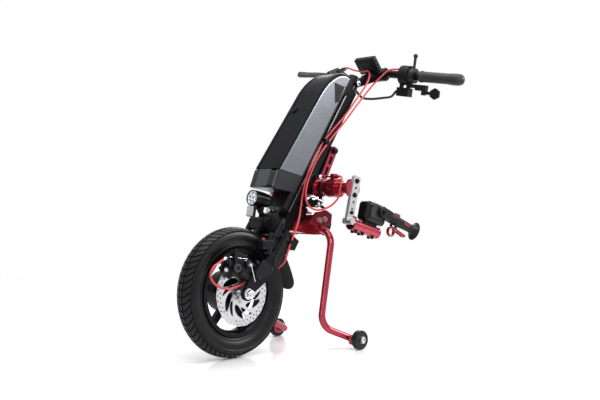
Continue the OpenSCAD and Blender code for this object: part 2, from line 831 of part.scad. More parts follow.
// Frame at the axle's centre with local z along X
module about_axle() { on_axle() rotate([0, 90, 0]) children(); }
// Frame of the caliper
module on_caliper() { on_axle() rotate([caliper_angle, 0, 0]) children(); }
// Frame of the steering axis: y is t and z is s
module on_column() { whole() translate(column_base) rotate([-column_lean, 0, 0]) children(); }
// Frame of the lamp: y runs from its front to its back
module on_lamp() { whole() at(lamp_y, lamp_z) rotate([-lamp_tilt, 0, 0]) children(); }
// Frame of the left handlebar end
module on_bar() {
    whole() translate(bar_corner) rotate([0, 0, bar_sweep]) rotate([0, bar_turn, 0]) children();
}
// Frame of the brake lever on the right handlebar end
module on_brake() { mirror([1, 0, 0]) on_bar() rotate([0, 0, -brake_lift]) children(); }
// Frame of the left arm at the cross shaft
module on_arm() { whole() translate([arm_x, cross.y, cross.z]) rotate([-arm_droop, 0, 0]) children(); }
// Frame of the left lever handle at its pin
module on_lever() { on_arm() at(lever_y, lever_z) rotate([-grip_droop, 0, 0]) children(); }
// Frame at the cross shaft's centre
module on_cross() { whole() translate(cross) children(); }
// Moves across the middle plane
module at(y, z) { translate([0, y, z]) children(); }
// Moves along z
module up(z) { translate([0, 0, z]) children(); }
// Copies to both sides
module both_sides() {
    children();
    mirror([1, 0, 0]) children();
}
// Plate from x0 to x1 with its outline in (y, z)
module plate(x0, x1, outline) {
    translate([x0, 0, 0]) rotate([90, 0, 90]) linear_extrude(x1 - x0) polygon(outline);
}
// Rod along X from x0 to x1
module rod(r, x0, x1) { translate([x0, 0, 0]) rotate([0, 90, 0]) cylinder(r = r, h = x1 - x0); }
// Block between two corners
module block(low, high) { translate(low) cube(high - low); }
// Tube along z from z0 to z1
module ring(outer_r, inner_r, z0, z1) {
    up(z0) difference() {
        cylinder(r = outer_r, h = z1 - z0);
        up(-over) cylinder(r = inner_r, h = z1 - z0 + 2 * over);
    }
}
// Straight round bar between two points
module strut(a, b, r) {
    d = b - a;
    translate(a) rotate([0, acos(d.z / norm(d)), atan2(d.y, d.x)]) cylinder(r = r, h = norm(d));
}
// Length of straight tube that a bend takes from each side of corner i
function bend_cut(route, i, bend_r) = i == 0 || i == len(route) - 1 ? 0 :
    let (u = unit(route[i] - route[i - 1]), v = unit(route[i + 1] - route[i])) bend_r * tan(acos(u * v)
        / 2);
// Round tube along a route in space, with a true arc at each corner that laps over its straights
module bent_tube(route, bend_r, r) {
    last = len(route) - 1;
    for (i = [0 : last - 1]) {
        d = unit(route[i + 1] - route[i]);
        strut(route[i] + bend_cut(route, i, bend_r) * d,
            route[i + 1] - bend_cut(route, i + 1, bend_r) * d, r);
    }
    for (i = [1 : last - 1]) {
        u = unit(route[i] - route[i - 1]);
        v = unit(route[i + 1] - route[i]);
        w = unit(v - (u * v) * u);
        n = cross_product(-w, u);
        c = route[i] - bend_cut(route, i, bend_r) * u + bend_r * w;
        multmatrix([[-w.x, u.x, n.x, c.x], [-w.y, u.y, n.y, c.y], [-w.z, u.z, n.z, c.z], [0, 0, 0, 1]])
            rotate([0, 0, -bend_lap]) rotate_extrude(angle = acos(u * v) + 2 * bend_lap)
                translate([bend_r, 0]) circle(r = r + fit_gap);
    }
}
// Vector at right angles to a and b
function cross_product(a, b) = [a.y * b.z - a.z * b.y, a.z * b.x - a.x * b.z, a.x * b.y - a.y * b.x];
// Cable swept along a smooth run through a route
module cable(route, r) {
    path = smooth(route);
    last = len(path) - 1;
    end = len(route) - 1;
    dirs = [for (i = [0 : last]) unit(i == 0 ? route[1] - route[0] :
        i == last ? route[end] - route[end - 1] : path[i + 1] - path[i - 1])];
    normals = carried(dirs, [0, 0, 1]);
    points = [for (i = [0 : last]) let (b = cross_product(dirs[i], normals[i]))
        for (k = [0 : cable_sides - 1]) let (a = 360 * k / cable_sides)
            path[i] + r * (cos(a) * normals[i] + sin(a) * b)];
    walls = [for (i = [0 : last - 1]) for (k = [0 : cable_sides - 1])
        let (m = (k + 1) % cable_sides, p = i * cable_sides, q = p + cable_sides) [p + k, q + k, q + m,
            p + m]];
    start_cap = [[for (k = [0 : cable_sides - 1]) k]];
    end_cap = [[for (k = [cable_sides - 1 : -1 : 0]) last * cable_sides + k]];
    polyhedron(points, concat(walls, start_cap, end_cap), convexity = 10);
}

// Wheel
module tyre() {
    color("#1c1c1e") about_axle() difference() {
        rotate_extrude() difference() {
            polygon(concat(
                [[foot_r, bead_x - tyre_wall], [foot_r, bead_x], [neck_r, bead_x]], wall_run(0),
                [[neck_r, -bead_x], [foot_r, -bead_x], [foot_r, tyre_wall - bead_x]],
                reversed(wall_run(tyre_wall))));
            for (x = [-tread_x, tread_x])
                translate([tyre_r - tread_d, x - tread_groove / 2]) square([tyre_wall, tread_groove]);
        }
        for (side = [0, 1]) mirror([0, 0, side]) for (i = [0 : tread_count - 1])
            rotate([0, 0, 360 * i / tread_count]) translate([tyre_r - tread_d, 0, tread_x])
                rotate([tread_slant, -tread_slope, 0])
                    block([0, -tread_groove / 2, 0], [tyre_wall, tread_groove / 2, tread_l]);
    }
}
module wheel_rim() {
    half = rim_w / 2;
    lip = half - rim_wall;
    well = lip / 2;
    color("#202022") about_axle() {
        rotate_extrude() polygon([[flange_r, -half], [flange_r, -lip], [rim_seat_r, -lip], [rim_seat_r,
            -well],
            [well_r, rim_well_d - well], [well_r, well - rim_well_d], [rim_seat_r, well], [rim_seat_r, lip],
            [flange_r, lip], [flange_r, half], [rim_seat_r - rim_wall, half], [rim_seat_r - rim_wall, well],
            [well_r - rim_wall, well - rim_well_d], [well_r - rim_wall, rim_well_d - well],
            [rim_seat_r - rim_wall, -well], [rim_seat_r - rim_wall, -half]]);
        ring(motor_r + hub_ring_t, motor_r + fit_gap, -hub_ring_w / 2, hub_ring_w / 2);
        for (i = [0 : spoke_count - 1]) rotate([0, 0, spoke_turn + 360 * i / spoke_count])
            block([motor_r + hub_ring_t / 2, -spoke_w / 2, -spoke_t / 2],
                [well_r - rim_wall / 2, spoke_w / 2, spoke_t / 2]);
    }
}
module motor_shell() {
    hub_r = hub_bore_r + motor_wall;
    hub_x = motor_far_x + hub_bearing_w;
    wall_x = motor_far_x + motor_wall;
    color("#2a2a2d") about_axle() rotate_extrude() polygon([[hub_bore_r, motor_far_x], [motor_r,
        motor_far_x],
        [motor_r, motor_joint_x], [magnet_r, motor_joint_x], [magnet_r, wall_x], [hub_r, wall_x],
        [hub_r, hub_x], [hub_bore_r, hub_x]]);
}
module motor_cover() {
    color("#2a2a2d") about_axle() rotate_extrude() polygon([[hub_bore_r, motor_joint_x],
        [motor_r, motor_joint_x], [motor_r, cover_x], [rotor_boss_r, cover_x], [rotor_boss_r, rotor_x],
        [hub_bore_r, rotor_x]]);
}
module hub_bearings() {
    color("silver") about_axle() for (x = [motor_far_x, rotor_x - hub_bearing_w])
        ring(hub_bearing_r, axle_r + run_gap, x, x + hub_bearing_w);
}
module brake_rotor() {
    arm_l = rotor_r - rotor_band / 2 - rotor_boss_r;
    color("#c8c8cc") about_axle() up(rotor_x) linear_extrude(rotor_t) difference() {
        union() {
            difference() {
                circle(r = rotor_r);
                circle(r = rotor_r - rotor_band);
            }
            circle(r = rotor_boss_r + rotor_arm_w / 2);
            for (i = [0 : rotor_arms - 1]) rotate(360 * i / rotor_arms) translate([rotor_boss_r, 0])
                rotate(rotor_arm_sweep) translate([0, -rotor_arm_w / 2]) square([arm_l, rotor_arm_w]);
        }
        circle(r = rotor_bore_r);
        for (row = [1, 2]) for (i = [0 : rotor_holes - 1]) rotate(360 * (i + row / 2) / rotor_holes)
            translate([rotor_r - rotor_band * row / 3, 0]) circle(r = rotor_hole_r);
    }
}

// Axle and stator
module wheel_axle() {
    end_x = blade_x + blade_t + axle_end;
    color("silver") about_axle() {
        up(-end_x) cylinder(r = axle_r, h = 2 * end_x);
        ring(axle_shoulder_r, axle_r - over, rotor_x + run_gap, blade_x - fit_gap);
        ring(axle_shoulder_r, axle_r - over, fit_gap - blade_x, motor_far_x - run_gap);
    }
}
module axle_nuts() {
    face = blade_x + blade_t;
    color("#d8d8dc") both_sides() about_axle() {
        ring(axle_washer_r, axle_r + fit_gap, face, face + axle_washer_t);
        up(face + axle_washer_t) difference() {
            cylinder(r = axle_nut_r, h = axle_nut_h, $fn = 6);
            up(-over) cylinder(r = axle_r + fit_gap, h = axle_nut_h + 2 * over);
        }
    }
}
module motor_stator() {
    color("#b06a3a") about_axle() up(stator_x - stator_w / 2) difference() {
        cylinder(r = stator_r, h = stator_w);
        up(-over) cylinder(r = axle_r + fit_gap, h = stator_w + 2 * over);
        for (i = [0 : tooth_count - 1]) rotate([0, 0, 360 * i / tooth_count])
            block([stator_r - stator_slot_d, -stator_slot_w / 2, -over],
                [stator_r + over, stator_slot_w / 2, stator_w + over]);
    }
}

// Fork with its steerer, struts and lamp bracket
module fork() {
    outer_x = blade_x + blade_t;
    strut_x = outer_x - blade_t / 2;
    root_t = crown_d / 2 - over;
    color("#1d1d1f") on_column() {
        difference() {
            union() {
                block([-outer_x, -crown_d / 2, crown_s], [outer_x, crown_d / 2, crown_top_s]);
                up(crown_s) cylinder(r = steerer_r, h = steerer_top_s - crown_s);
                both_sides() {
                    plate(blade_x, outer_x, blade_outline);
                    at(-fork_rake, 0) rod(dropout_r, blade_x, outer_x);
                    translate([strut_x, -strut_t, strut_s0]) cylinder(r = strut_r, h = strut_s1 - strut_s0);
                    for (s = [strut_s0, crown_s]) block([blade_x, -strut_t, s + strut_r],
                        [outer_x, over - blade_front, s + strut_r + strut_lug_h]);
                }
                plate(-lamp_lug_w / 2, lamp_lug_w / 2, [[-root_t, crown_top_s - crown_h / 2],
                    [lamp_pin_t, lamp_pin_s - lamp_lug_r], [lamp_pin_t, lamp_pin_s + lamp_lug_r],
                    [-root_t - crown_h / 2, crown_top_s - strut_r], [-root_t, crown_top_s - strut_r]]);
                at(lamp_pin_t, lamp_pin_s) {
                    rod(lamp_lug_r, -lamp_lug_w / 2, lamp_lug_w / 2);
                    rod(lamp_pin_r, -lamp_ear_x - lamp_ear_t, lamp_ear_x + lamp_ear_t);
                }
            }
            up(crown_s - over) cylinder(r = steerer_r - steerer_wall, h = steerer_top_s);
            at(-fork_rake, 0) rod(axle_r + fit_gap, -outer_x - over, outer_x + over);
        }
    }
}
module mudguard() {
    off = mudguard_r - tyre_r - mudguard_gap;
    tab_s = crown_s - mudguard_gap;
    color("#202022") {
        on_axle() at(-off * cos(mudguard_high), -off * sin(mudguard_high))
            rotate([90, 0, 90]) rotate([0, 0, mudguard_low])
            rotate_extrude(angle = mudguard_high - mudguard_low)
                translate([mudguard_r, -mudguard_w / 2]) square([mudguard_t, mudguard_w]);
        on_column() block([-steerer_r, over, tab_s + mudguard_t], [steerer_r, dropout_r, crown_s]);
    }
}

// Brake caliper
module caliper_body() {
    color("#232326") {
        on_caliper() {
            difference() {
                block([caliper_x, caliper_in, -caliper_l / 2], [blade_x, caliper_out, caliper_l / 2]);
                block([slot_x0, caliper_in - over, -caliper_l], [slot_x1, slot_out, caliper_l]);
            }
            block([blade_x - adapter_t, caliper_out - over, lug_c_z0],
                [arm_x1, lug_c_y + lug_c_half, lug_c_z1]);
            at(caliper_y, 0) {
                rod(caliper_pin_r, blade_x - over, knob_x0 + over);
                rod(caliper_knob_r, knob_x0, knob_x0 + caliper_arm_t);
            }
        }
        on_axle() plate(blade_x - adapter_t, blade_x - fit_gap, adapter);
    }
}
module brake_pads() {
    color("#3a3a3c") on_caliper() for (x = [slot_x0, slot_x1 - pad_t])
        block([x, pad_in, -pad_half_l], [x + pad_t, rotor_r - over, pad_half_l]);
}
module caliper_arm() {
    color("#2c2c30") on_caliper() at(caliper_y, 0) difference() {
        union() {
            rod(caliper_knob_r, arm_x0, arm_x1);
            rotate([caliper_arm_turn, 0, 0]) {
                block([arm_x0, 0, -caliper_pin_r], [arm_x1, caliper_arm_l, caliper_pin_r]);
                at(caliper_arm_l, 0) rod(caliper_pin_r, arm_x0, arm_x1);
            }
        }
        rod(caliper_pin_r + run_gap, arm_x0 - over, arm_x1 + over);
    }
}

// Lamp
module headlight() {
    in_r = lamp_r - lamp_wall;
    bowl = lamp_l * lamp_shares;
    color("#222225") on_lamp() difference() {
        union() {
            rotate([-90, 0, 0]) rotate_extrude() polygon([[in_r, 0], [lamp_r, 0], [lamp_r, bowl[0]],
                [lamp_back_r, bowl[3]], [lamp_back_r / 2, lamp_l], [0, lamp_l], [0, bowl[2]], [in_r / 2,
                    bowl[1]],
                [in_r, lens_y + lens_t]]);
            both_sides() {
                plate(lamp_ear_x, lamp_ear_x + lamp_ear_t, [[lamp_mid - lamp_lug_r, -lamp_drop],
                    [lamp_mid + lamp_lug_r, -lamp_drop], [lamp_mid + lamp_lug_r, lamp_ear_t - lamp_r],
                    [lamp_mid - lamp_lug_r, lamp_ear_t - lamp_r]]);
                at(lamp_mid, -lamp_drop) rod(lamp_lug_r, lamp_ear_x, lamp_ear_x + lamp_ear_t);
            }
        }
        at(lamp_mid, -lamp_drop) rod(lamp_pin_r + run_gap, -lamp_r, lamp_r);
    }
}
module headlight_lens() {
    color("#e8eef2") on_lamp() at(lens_y, 0) rotate([-90, 0, 0])
        cylinder(r = lamp_r - lamp_wall - fit_gap, h = lens_t);
}
module front_reflector() {
    color("#c4c8cc") on_lamp() block([-reflector_w / 2, lens_y, -lamp_r - fit_gap - reflector_w],
        [reflector_w / 2, lens_y + reflector_t, -lamp_r - fit_gap]);
}

// Column and its bearings
module column() {
    x = column_w;
    h = column_top_s - column_s;
    seat_half = cross_r + bolt_r;
    color("#8e1420") on_column() difference() {
        union() {
            up(column_s) linear_extrude(h) polygon([[-x, -column_front], [x, -column_front],
                [x, column_back - column_chamfer], [x - column_chamfer, column_back],
                [column_chamfer - x, column_back], [-x, column_back - column_chamfer]]);
            block([-x - strip_lip, -strip_front, dock_s], [x + strip_lip, over - column_front, dock_top_s]);
            block([-x, column_chamfer, link_s - bolt_head_r], [x, link_t0, link_s + bolt_head_r]);
            at(link_t0, link_s) rod(bolt_head_r, -x, x);
            block([-x + strip_lip, column_chamfer, cross_s - seat_half],
                [x - strip_lip, cross_t - bolt_r, cross_s + seat_half]);
        }
        up(column_s - over) cylinder(r = steerer_r + 2 * run_gap, h = h + 2 * over);
        for (s = [column_s - over, column_top_s - head_bearing_h]) translate([0, 0, s])
            cylinder(r = head_bearing_r + fit_gap, h = head_bearing_h + over);
        at(cross_t, cross_s) rod(cross_r + fit_gap, -x, x);
        at(link_t0, link_s) rod(bolt_r + fit_gap, -x - over, x + over);
    }
}
module headset_bearings() {
    color("silver") on_column() for (s = [column_s, column_top_s - head_bearing_h])
        ring(head_bearing_r, steerer_r + run_gap, s, s + head_bearing_h);
}

// Battery dock and what it carries
module battery_dock() {
    neck = rail_neck_w + run_gap;
    head = rail_w + run_gap;
    lip_t = pack_back - rail_lip + run_gap;
    floor_t = pack_back - rail_d - run_gap;
    x = controller_w + fit_gap;
    color("#1b1b1d") on_column() difference() {
        union() {
            block([-dock_w, -dock_front, dock_s], [dock_w, -dock_step, dock_top_s]);
            block([-dock_foot_w, -dock_step - over, dock_s], [dock_foot_w, -strip_front, dock_top_s]);
        }
        block([-neck, -pack_back, rail_s0 - fit_gap], [neck, -floor_t, dock_top_s + over]);
        block([-head, -lip_t, rail_s0 - fit_gap], [head, -floor_t, dock_top_s + over]);
        block([-x, case_wall - dock_front - fit_gap, controller_s - fit_gap],
            [x, fit_gap - strip_front - case_wall, controller_s + controller_l + fit_gap]);
    }
}
module controller() {
    color("#6a6a6e") on_column() block([-controller_w, case_wall - dock_front, controller_s],
        [controller_w, -strip_front - case_wall, controller_s + controller_l]);
}

// Battery
module battery_case() {
    x = case_w;
    color("#1f1f22") on_column() {
        difference() {
            plate(-x, x, case_outline(0));
            plate(case_wall - x, x - case_wall, case_outline(case_wall));
            translate([-key_x, -key_front, key_s]) rotate([-90, 0, 0])
                cylinder(r = key_r + run_gap, h = key_l + case_wall);
        }
        block([-rail_neck_w, -pack_back - over, rail_s0], [rail_neck_w, rail_d - pack_back, rail_s1]);
        block([-rail_w, rail_lip - pack_back, rail_s0], [rail_w, rail_d - pack_back, rail_s1]);
    }
}
module battery_side_panels() {
    color("#77787c") both_sides() on_column() plate(case_w, case_w + panel_t, case_outline(panel_t / 2));
}
module battery_cap() {
    x = case_w + panel_t;
    low_front = pack_front - pack_taper;
    color("#1b1b1d") on_column() plate(-x, x, [[-pack_back, pack_s],
        [-pack_back, cap_back_s - fit_gap], [-pack_front, cap_front_s - fit_gap],
        [-low_front, pack_s - pack_drop]]);
}
module battery_cells() {
    color("#3f8f6a") on_column() for (i = [0 : cell_cols - 1]) for (j = [0 : cell_rows - 1])
        translate([(i - (cell_cols - 1) / 2) * cell_pitch, -cell_t, cell_s + j * cell_pitch])
            rotate([90, 0, 0]) cylinder(r = cell_r, h = cell_l, $fn = 16);
}
module key_lock() {
    color("#b8b8bc") on_column() translate([-key_x, -key_front, key_s]) difference() {
        rotate([-90, 0, 0]) cylinder(r = key_r, h = key_l);
        block([-key_r / 2, -over, -fit_gap * key_r], [key_r / 2, key_proud, fit_gap * key_r]);
    }
}

// Stand
module gusset_plates() {
    color("#8e1420") both_sides() whole() at(stand_y, stand_z) difference() {
        plate(bracket_w, gusset_x1, [[-gusset_back, 2 * stand_r], [-gusset_back / 3, gusset_top - bolt_r],
            [gusset_back / 2, gusset_top], [gusset_back, gusset_top - 3 * bolt_r], [gusset_back - bolt_r,
                plate_low],
            [-gusset_back / 2, plate_low]]);
        for (p = gusset_bolts) translate([0, p[0], p[1]])
            rod(bolt_r + fit_gap, bracket_w - over, gusset_x1 + over);
    }
}
module stand_bracket() {
    x = bracket_w;
    back = column_back + fit_gap;
    front_low = column_base + back * column_aft + bracket_s * column_up;
    front_high = front_low + gusset_top * column_up;
    low = stand_r + bolt_r + run_gap;
    top = gusset_top - 3 * bolt_r;
    end = gusset_back - bolt_r;
    color("#222225") whole() difference() {
        union() {
            plate(-column_w, column_w, [[front_low.y, front_low.z], [stand_y, stand_z - low],
                [stand_y + low, stand_z + plate_low], [front_high.y, front_high.z]]);
            at(stand_y, stand_z) plate(-x, x, [[-low, -low], [low, -low], [low, plate_low],
                [end, plate_low], [end, top], [-low, top]]);
        }
        at(stand_y, stand_z) {
            rod(stand_r + run_gap, -x - over, x + over);
            for (p = gusset_bolts) translate([0, p[0], p[1]]) both_sides()
                rod(bolt_r + fit_gap, x - bolt_grip - fit_gap, x + over);
        }
    }
}
module frame_bolts() {
    link_x1 = link_x0 + link_t;
    color("#2e2e31") both_sides() {
        whole() at(stand_y, stand_z) for (p = gusset_bolts) translate([0, p[0], p[1]]) {
            rod(bolt_r, bracket_w - bolt_grip, gusset_x1 + over);
            rod(bolt_head_r, gusset_x1, gusset_x1 + bolt_head_h);
        }
        on_column() at(link_t0, link_s) {
            rod(bolt_r, column_w - bolt_grip, link_x1 + over);
            rod(bolt_head_r, link_x1, link_x1 + bolt_head_h);
        }
    }
}
module stand_frame() {
    left = [hip, ankle, foot_end];
    right = [for (p = left) [-p.x, p.y, p.z]];
    color("#202022") whole() {
        bent_tube(concat(reversed(right), left), stand_bend_r, stand_r);
        both_sides() at(roller_y, roller_r) {
            translate([foot_x, 0, 0]) sphere(r = stand_r + run_gap);
            rod(stand_r, foot_x, roller_x);
            rod(roller_pin_r, roller_x - over, roller_x1 + run_gap + over);
            rod(roller_head_r, roller_x1 + run_gap, roller_x1 + run_gap + roller_head_h);
        }
    }
}
module roller_left() {
    groove = roller_w / 8;
    color("#3b3b3e") whole() translate([roller_x0, roller_y, roller_r]) rotate([0, 90, 0])
        rotate_extrude() polygon([[roller_pin_r + run_gap, 0], [roller_r - groove, 0], [roller_r, groove],
            [roller_r, roller_w - groove], [roller_r - groove, roller_w], [roller_pin_r + run_gap,
                roller_w]]);
}
module roller_right() { mirror([1, 0, 0]) roller_left(); }

// Coupling
module cross_tube() {
    color("#26262a") on_cross() difference() {
        union() {
            rod(cross_r, -cross_half, cross_half);
            both_sides() rod(collar_r, cross_half, collar_x1);
            block([lug_x0, latch_y - lug_half, 0], [lug_x0 + lug_l, latch_y + lug_half,
                latch_z + lug_half]);
            at(latch_y, latch_z) rod(adjuster_r, lug_x0 + lug_l - over, lug_x0 + lug_l + adjuster_l);
        }
        rod(bore_r, -collar_x1 - over, collar_x1 + over);
        at(latch_y, latch_z) rod(latch_r + run_gap, lug_x0 - over, latch_x1 + latch_travel + over);
    }
}
module link_plates() {
    x1 = link_x0 + link_t;
    half = link_w / 2;
    color("#26262a") both_sides() on_column() at(cross_t, cross_s) rotate([-link_turn, 0, 0])
        difference() {
            union() {
                rod(link_ring_r, link_x0, x1);
                block([link_x0, -half, 0], [x1, half, link_l]);
                up(link_l) rod(half, link_x0, x1);
            }
            rod(cross_r + fit_gap, link_x0 - over, x1 + over);
            up(link_l) rod(bolt_r + fit_gap, link_x0 - over, x1 + over);
            for (p = link_slots) block([link_x0 - over, -link_slot_half, p[0] * link_l],
                [x1 + over, link_slot_half, p[1] * link_l]);
        }
}
module latch_rod() {
    color("#b8b8bc") on_cross() at(latch_y, latch_z) {
        rod(latch_r, latch_x0, latch_x1);
        rod(latch_head_r, latch_x0, latch_x0 + latch_head_l);
    }
}
module cross_shaft() {
    color("#2c2c30") on_cross() difference() {
        union() {
            rod(shaft_r, -shaft_end_x, shaft_end_x);
            both_sides() {
                rod(shaft_end_r, collar_x1 + run_gap, shaft_end_x);
                rod(shaft_flange_r, shaft_end_x - flange_t, shaft_end_x);
            }
        }
        rotate([-arm_droop, 0, 0]) both_sides() for (z = [-hanger_step, hanger_step]) translate([0, 0, z])
            rod(hanger_hole_r + fit_gap, shaft_end_x - flange_t - over, shaft_end_x + over);
    }
}
module hanger_bars() {
    half = hanger_w / 2;
    cut = half - hanger_chamfer;
    top = hanger_top;
    color("#a9abb0") both_sides() on_arm() difference() {
        union() {
            plate(-hanger_t / 2, hanger_t / 2, [[-half, -knuckle_drop], [half, -knuckle_drop],
                [half, top - hanger_chamfer], [cut, top], [-cut, top], [-half, top - hanger_chamfer]]);
            up(-knuckle_drop) rod(knuckle_r, -knuckle_l / 2, knuckle_l / 2);
        }
        for (i = [-3 : 1]) up(i * hanger_step) rod(hanger_hole_r + fit_gap, -hanger_t, hanger_t);
        block([-knuckle_l, knuckle_r, sleeve_z - sleeve_r], [knuckle_l, knuckle_drop,
            sleeve_z + ear_top + fit_gap]);
    }
}
module hanger_screws() {
    color("#2e2e31") both_sides() on_arm() for (z = [-hanger_step, hanger_step]) up(z) {
        rod(hanger_hole_r, -hanger_t / 2 - flange_t, hanger_t / 2 + over);
        rod(screw_head_r, hanger_t / 2, hanger_t / 2 + screw_head_h);
    }
}
module clamp_sleeves() {
    color("#8e1420") both_sides() on_arm() at(sleeve_y0, sleeve_z) difference() {
        union() {
            rotate([-90, 0, 0]) cylinder(r = sleeve_r, h = sleeve_l);
            block([-ear_w / 2, 0, sleeve_bore_r], [ear_w / 2, ear_w, ear_top]);
        }
        rotate([-90, 0, 0]) up(sleeve_wall) cylinder(r = sleeve_bore_r, h = sleeve_l);
        block([-slit_w / 2, slit_start, 0], [slit_w / 2, sleeve_l + over, sleeve_r + over]);
    }
}

// Claw with its docking socket
module claw_left() {
    x = claw_w / 2;
    c = claw_chamfer;
    color("#1f1f22") on_arm() {
        difference() {
            plate(-x, x, [[claw_y0 + c, claw_z0], [claw_y1, claw_z0], [claw_y1, claw_z1 - c],
                [claw_y1 - c, claw_z1],
                [claw_y0 + c, claw_z1], [claw_y0, claw_z1 - c], [claw_y0, claw_z0 + c]]);
            translate([socket_x, claw_y1 + over, socket_z]) rotate([90, 0, 0])
                cylinder(r = socket_r, h = socket_d + over);
        }
        at(slide_y0, sleeve_z) rotate([-90, 0, 0]) cylinder(r = slide_r, h = slide_y1 - slide_y0);
        block([-claw_neck_half, claw_neck_y0, sleeve_z], [claw_neck_half, claw_neck_y1, claw_z0 + over]);
        at(lever_y, lever_z) rod(lever_pin_r, x - over, lever_x1);
    }
}
module claw_right() { mirror([1, 0, 0]) claw_left(); }
module claw_handle_left() {
    x0 = grip_x - trigger_half - run_gap;
    x1 = grip_x + trigger_half + run_gap;
    pocket = button_proud + pocket_d;
    color("#242427") on_lever() difference() {
        union() {
            rod(lever_boss_r, lever_x0, lever_x1);
            plate(lever_x0, lever_x1, [[0, -lever_boss_r], [0, lever_boss_r], [grip_y0 + over, grip_half],
                [grip_y0 + over, -grip_half]]);
            plate(grip_x0, lever_x1, grip_shape);
            at(guard_y, guard_z)
                rod(guard_r, grip_x - guard_w / 2, grip_x + guard_w / 2);
            for (x = [x0 - trigger_lug, x1]) {
                at(trigger_y, trigger_z) rod(trigger_r, x, x + trigger_lug);
                block([x, trigger_y - trigger_r, trigger_z],
                    [x + trigger_lug, trigger_y + trigger_r, over - grip_half]);
            }
            at(trigger_y, trigger_z) rod(trigger_pin_r, x0 - over, x1 + over);
        }
        rod(lever_pin_r + run_gap, lever_x0 - over, lever_x1 + over);
        at(guard_y, guard_z) rod(guard_r - guard_wall, grip_x - guard_w, grip_x + guard_w);
        block([grip_x - button_w / 2 - run_gap, button_y0 - run_gap, grip_half - pocket_d],
            [grip_x + button_w / 2 + run_gap, button_y0 + button_l + run_gap, grip_half + pocket]);
    }
}
module claw_handle_right() { mirror([1, 0, 0]) claw_handle_left(); }
module trigger_left() {
    color("#1b1b1d") on_lever() difference() {
        union() {
            at(trigger_y, trigger_z)
                rod(trigger_r, grip_x - trigger_half, grip_x + trigger_half);
            plate(grip_x - trigger_half, grip_x + trigger_half, [[trigger_y, trigger_top],
                [trigger_y + trigger_l, trigger_end], [trigger_y + trigger_l, trigger_end - 2 * trigger_r],
                [trigger_y, trigger_z - trigger_r]]);
        }
        at(trigger_y, trigger_z)
            rod(trigger_pin_r + run_gap, grip_x - trigger_w, grip_x + trigger_w);
    }
}
module trigger_right() { mirror([1, 0, 0]) trigger_left(); }
module button_left() {
    color("#2c2c30") on_lever() block([grip_x - button_w / 2, button_y0,
        grip_half - pocket_d + button_travel + run_gap],
        [grip_x + button_w / 2, button_y0 + button_l, grip_half + button_proud]);
}
module button_right() { mirror([1, 0, 0]) button_left(); }

// Cockpit
module stem() {
    color("#1d1d1f") difference() {
        union() {
            on_column() translate([0, 0, column_top_s + run_gap])
                cylinder(r = stem_base_r, h = steerer_top_s - column_top_s - run_gap);
            whole() {
                plate(-stem_w, stem_w, [stem_root - stem_rise, stem_tip - stem_rise,
                    stem_tip + stem_rise, stem_root + stem_rise]);
                at(bar_y, bar_z) rod(stem_clamp_r, -stem_clamp_w, stem_clamp_w);
                translate(stem_bolt) rod(stem_bolt_r, -stem_boss_x, stem_boss_x);
            }
        }
        on_column() up(column_top_s) cylinder(r = steerer_r + fit_gap, h = steerer_top_s);
        whole() at(bar_y, bar_z) rod(bar_r + fit_gap, -stem_clamp_w - over, stem_clamp_w + over);
    }
}
module cockpit_bolts() {
    socket = stem_bolt_r / 2;
    color("#c8c8cc") both_sides() whole() translate(stem_bolt) difference() {
        rod(stem_bolt_r, stem_boss_x, stem_boss_x + bolt_head_h);
        translate([stem_boss_x + bolt_head_h / 2, 0, 0]) rotate([0, 90, 0]) cylinder(r = socket,
            h = bolt_head_h, $fn = 6);
    }
}
module handlebar() {
    right_corner = [-bar_corner.x, bar_corner.y, bar_corner.z];
    right_end = [-bar_end.x, bar_end.y, bar_end.z];
    color("#1d1d1f") whole() bent_tube([right_end, right_corner, bar_corner, bar_end], bar_bend_r, bar_r);
}
module grips() {
    end_z = bar_end_l + fit_gap;
    color("#18181a") both_sides() on_bar() rotate_extrude() polygon(concat(
        [[bar_r + fit_gap, grip_start], [grip_r, grip_start], [grip_r, end_z - grip_r / 2]],
        [for (i = [1 : curve_steps]) let (a = 90 * i / curve_steps)
            [grip_r * cos(a), end_z - grip_r / 2 + grip_r * sin(a)]],
        [[0, end_z], [bar_r + fit_gap, end_z]]));
}
module display_housing() {
    half_t = display_t / 2;
    ring_r = bar_r + bolt_r;
    x0 = stem_clamp_w + run_gap;
    x1 = x0 + bolt_r;
    color("#1b1b1d") whole() {
        at(display_y, display_z) rotate([-display_tilt, 0, 0])
            block([-display_w / 2, -display_d / 2, -half_t], [display_w / 2, display_d / 2, half_t]);
        both_sides() difference() {
            union() {
                at(bar_y, bar_z) rod(ring_r, x0, x1);
                plate(x0, x1, [[bar_y, bar_z + ring_r], [bar_y - ring_r, bar_z], [display_y,
                    display_z - display_t],
                    [display_y, display_z]]);
            }
            at(bar_y, bar_z) rod(bar_r + fit_gap, x0 - over, x1 + over);
        }
    }
}
module brake_lever_body() {
    x = brake_half;
    color("#222225") on_brake() difference() {
        union() {
            ring(bar_r + clamp_wall, bar_r + fit_gap, brake_z0, brake_z1);
            plate(-x, x, [[-bar_r - clamp_wall / 2, brake_z0], [-bar_r - clamp_wall / 2, brake_z1],
                [brake_y / 2, brake_z1 + clamp_wall], [brake_y + x, brake_pin_z], [brake_y - x,
                    brake_pin_z],
                [brake_y - x, brake_z0], [brake_y / 2, brake_z0 - clamp_wall]]);
            at(brake_y, brake_pin_z) rod(brake_hub_r, -x, x);
            at(brake_y, barrel_z0) cylinder(r = barrel_r, h = brake_z0 - barrel_z0 + over);
        }
        block([-brake_slot, brake_y - 2 * x, brake_pin_z - brake_hub_r - run_gap - x / 2],
            [brake_slot, brake_y + 2 * x, brake_pin_z + 2 * x]);
    }
    color("#222225") on_brake() at(brake_y, brake_pin_z)
        rod(brake_pin_r, -brake_slot - over, brake_slot + over);
}
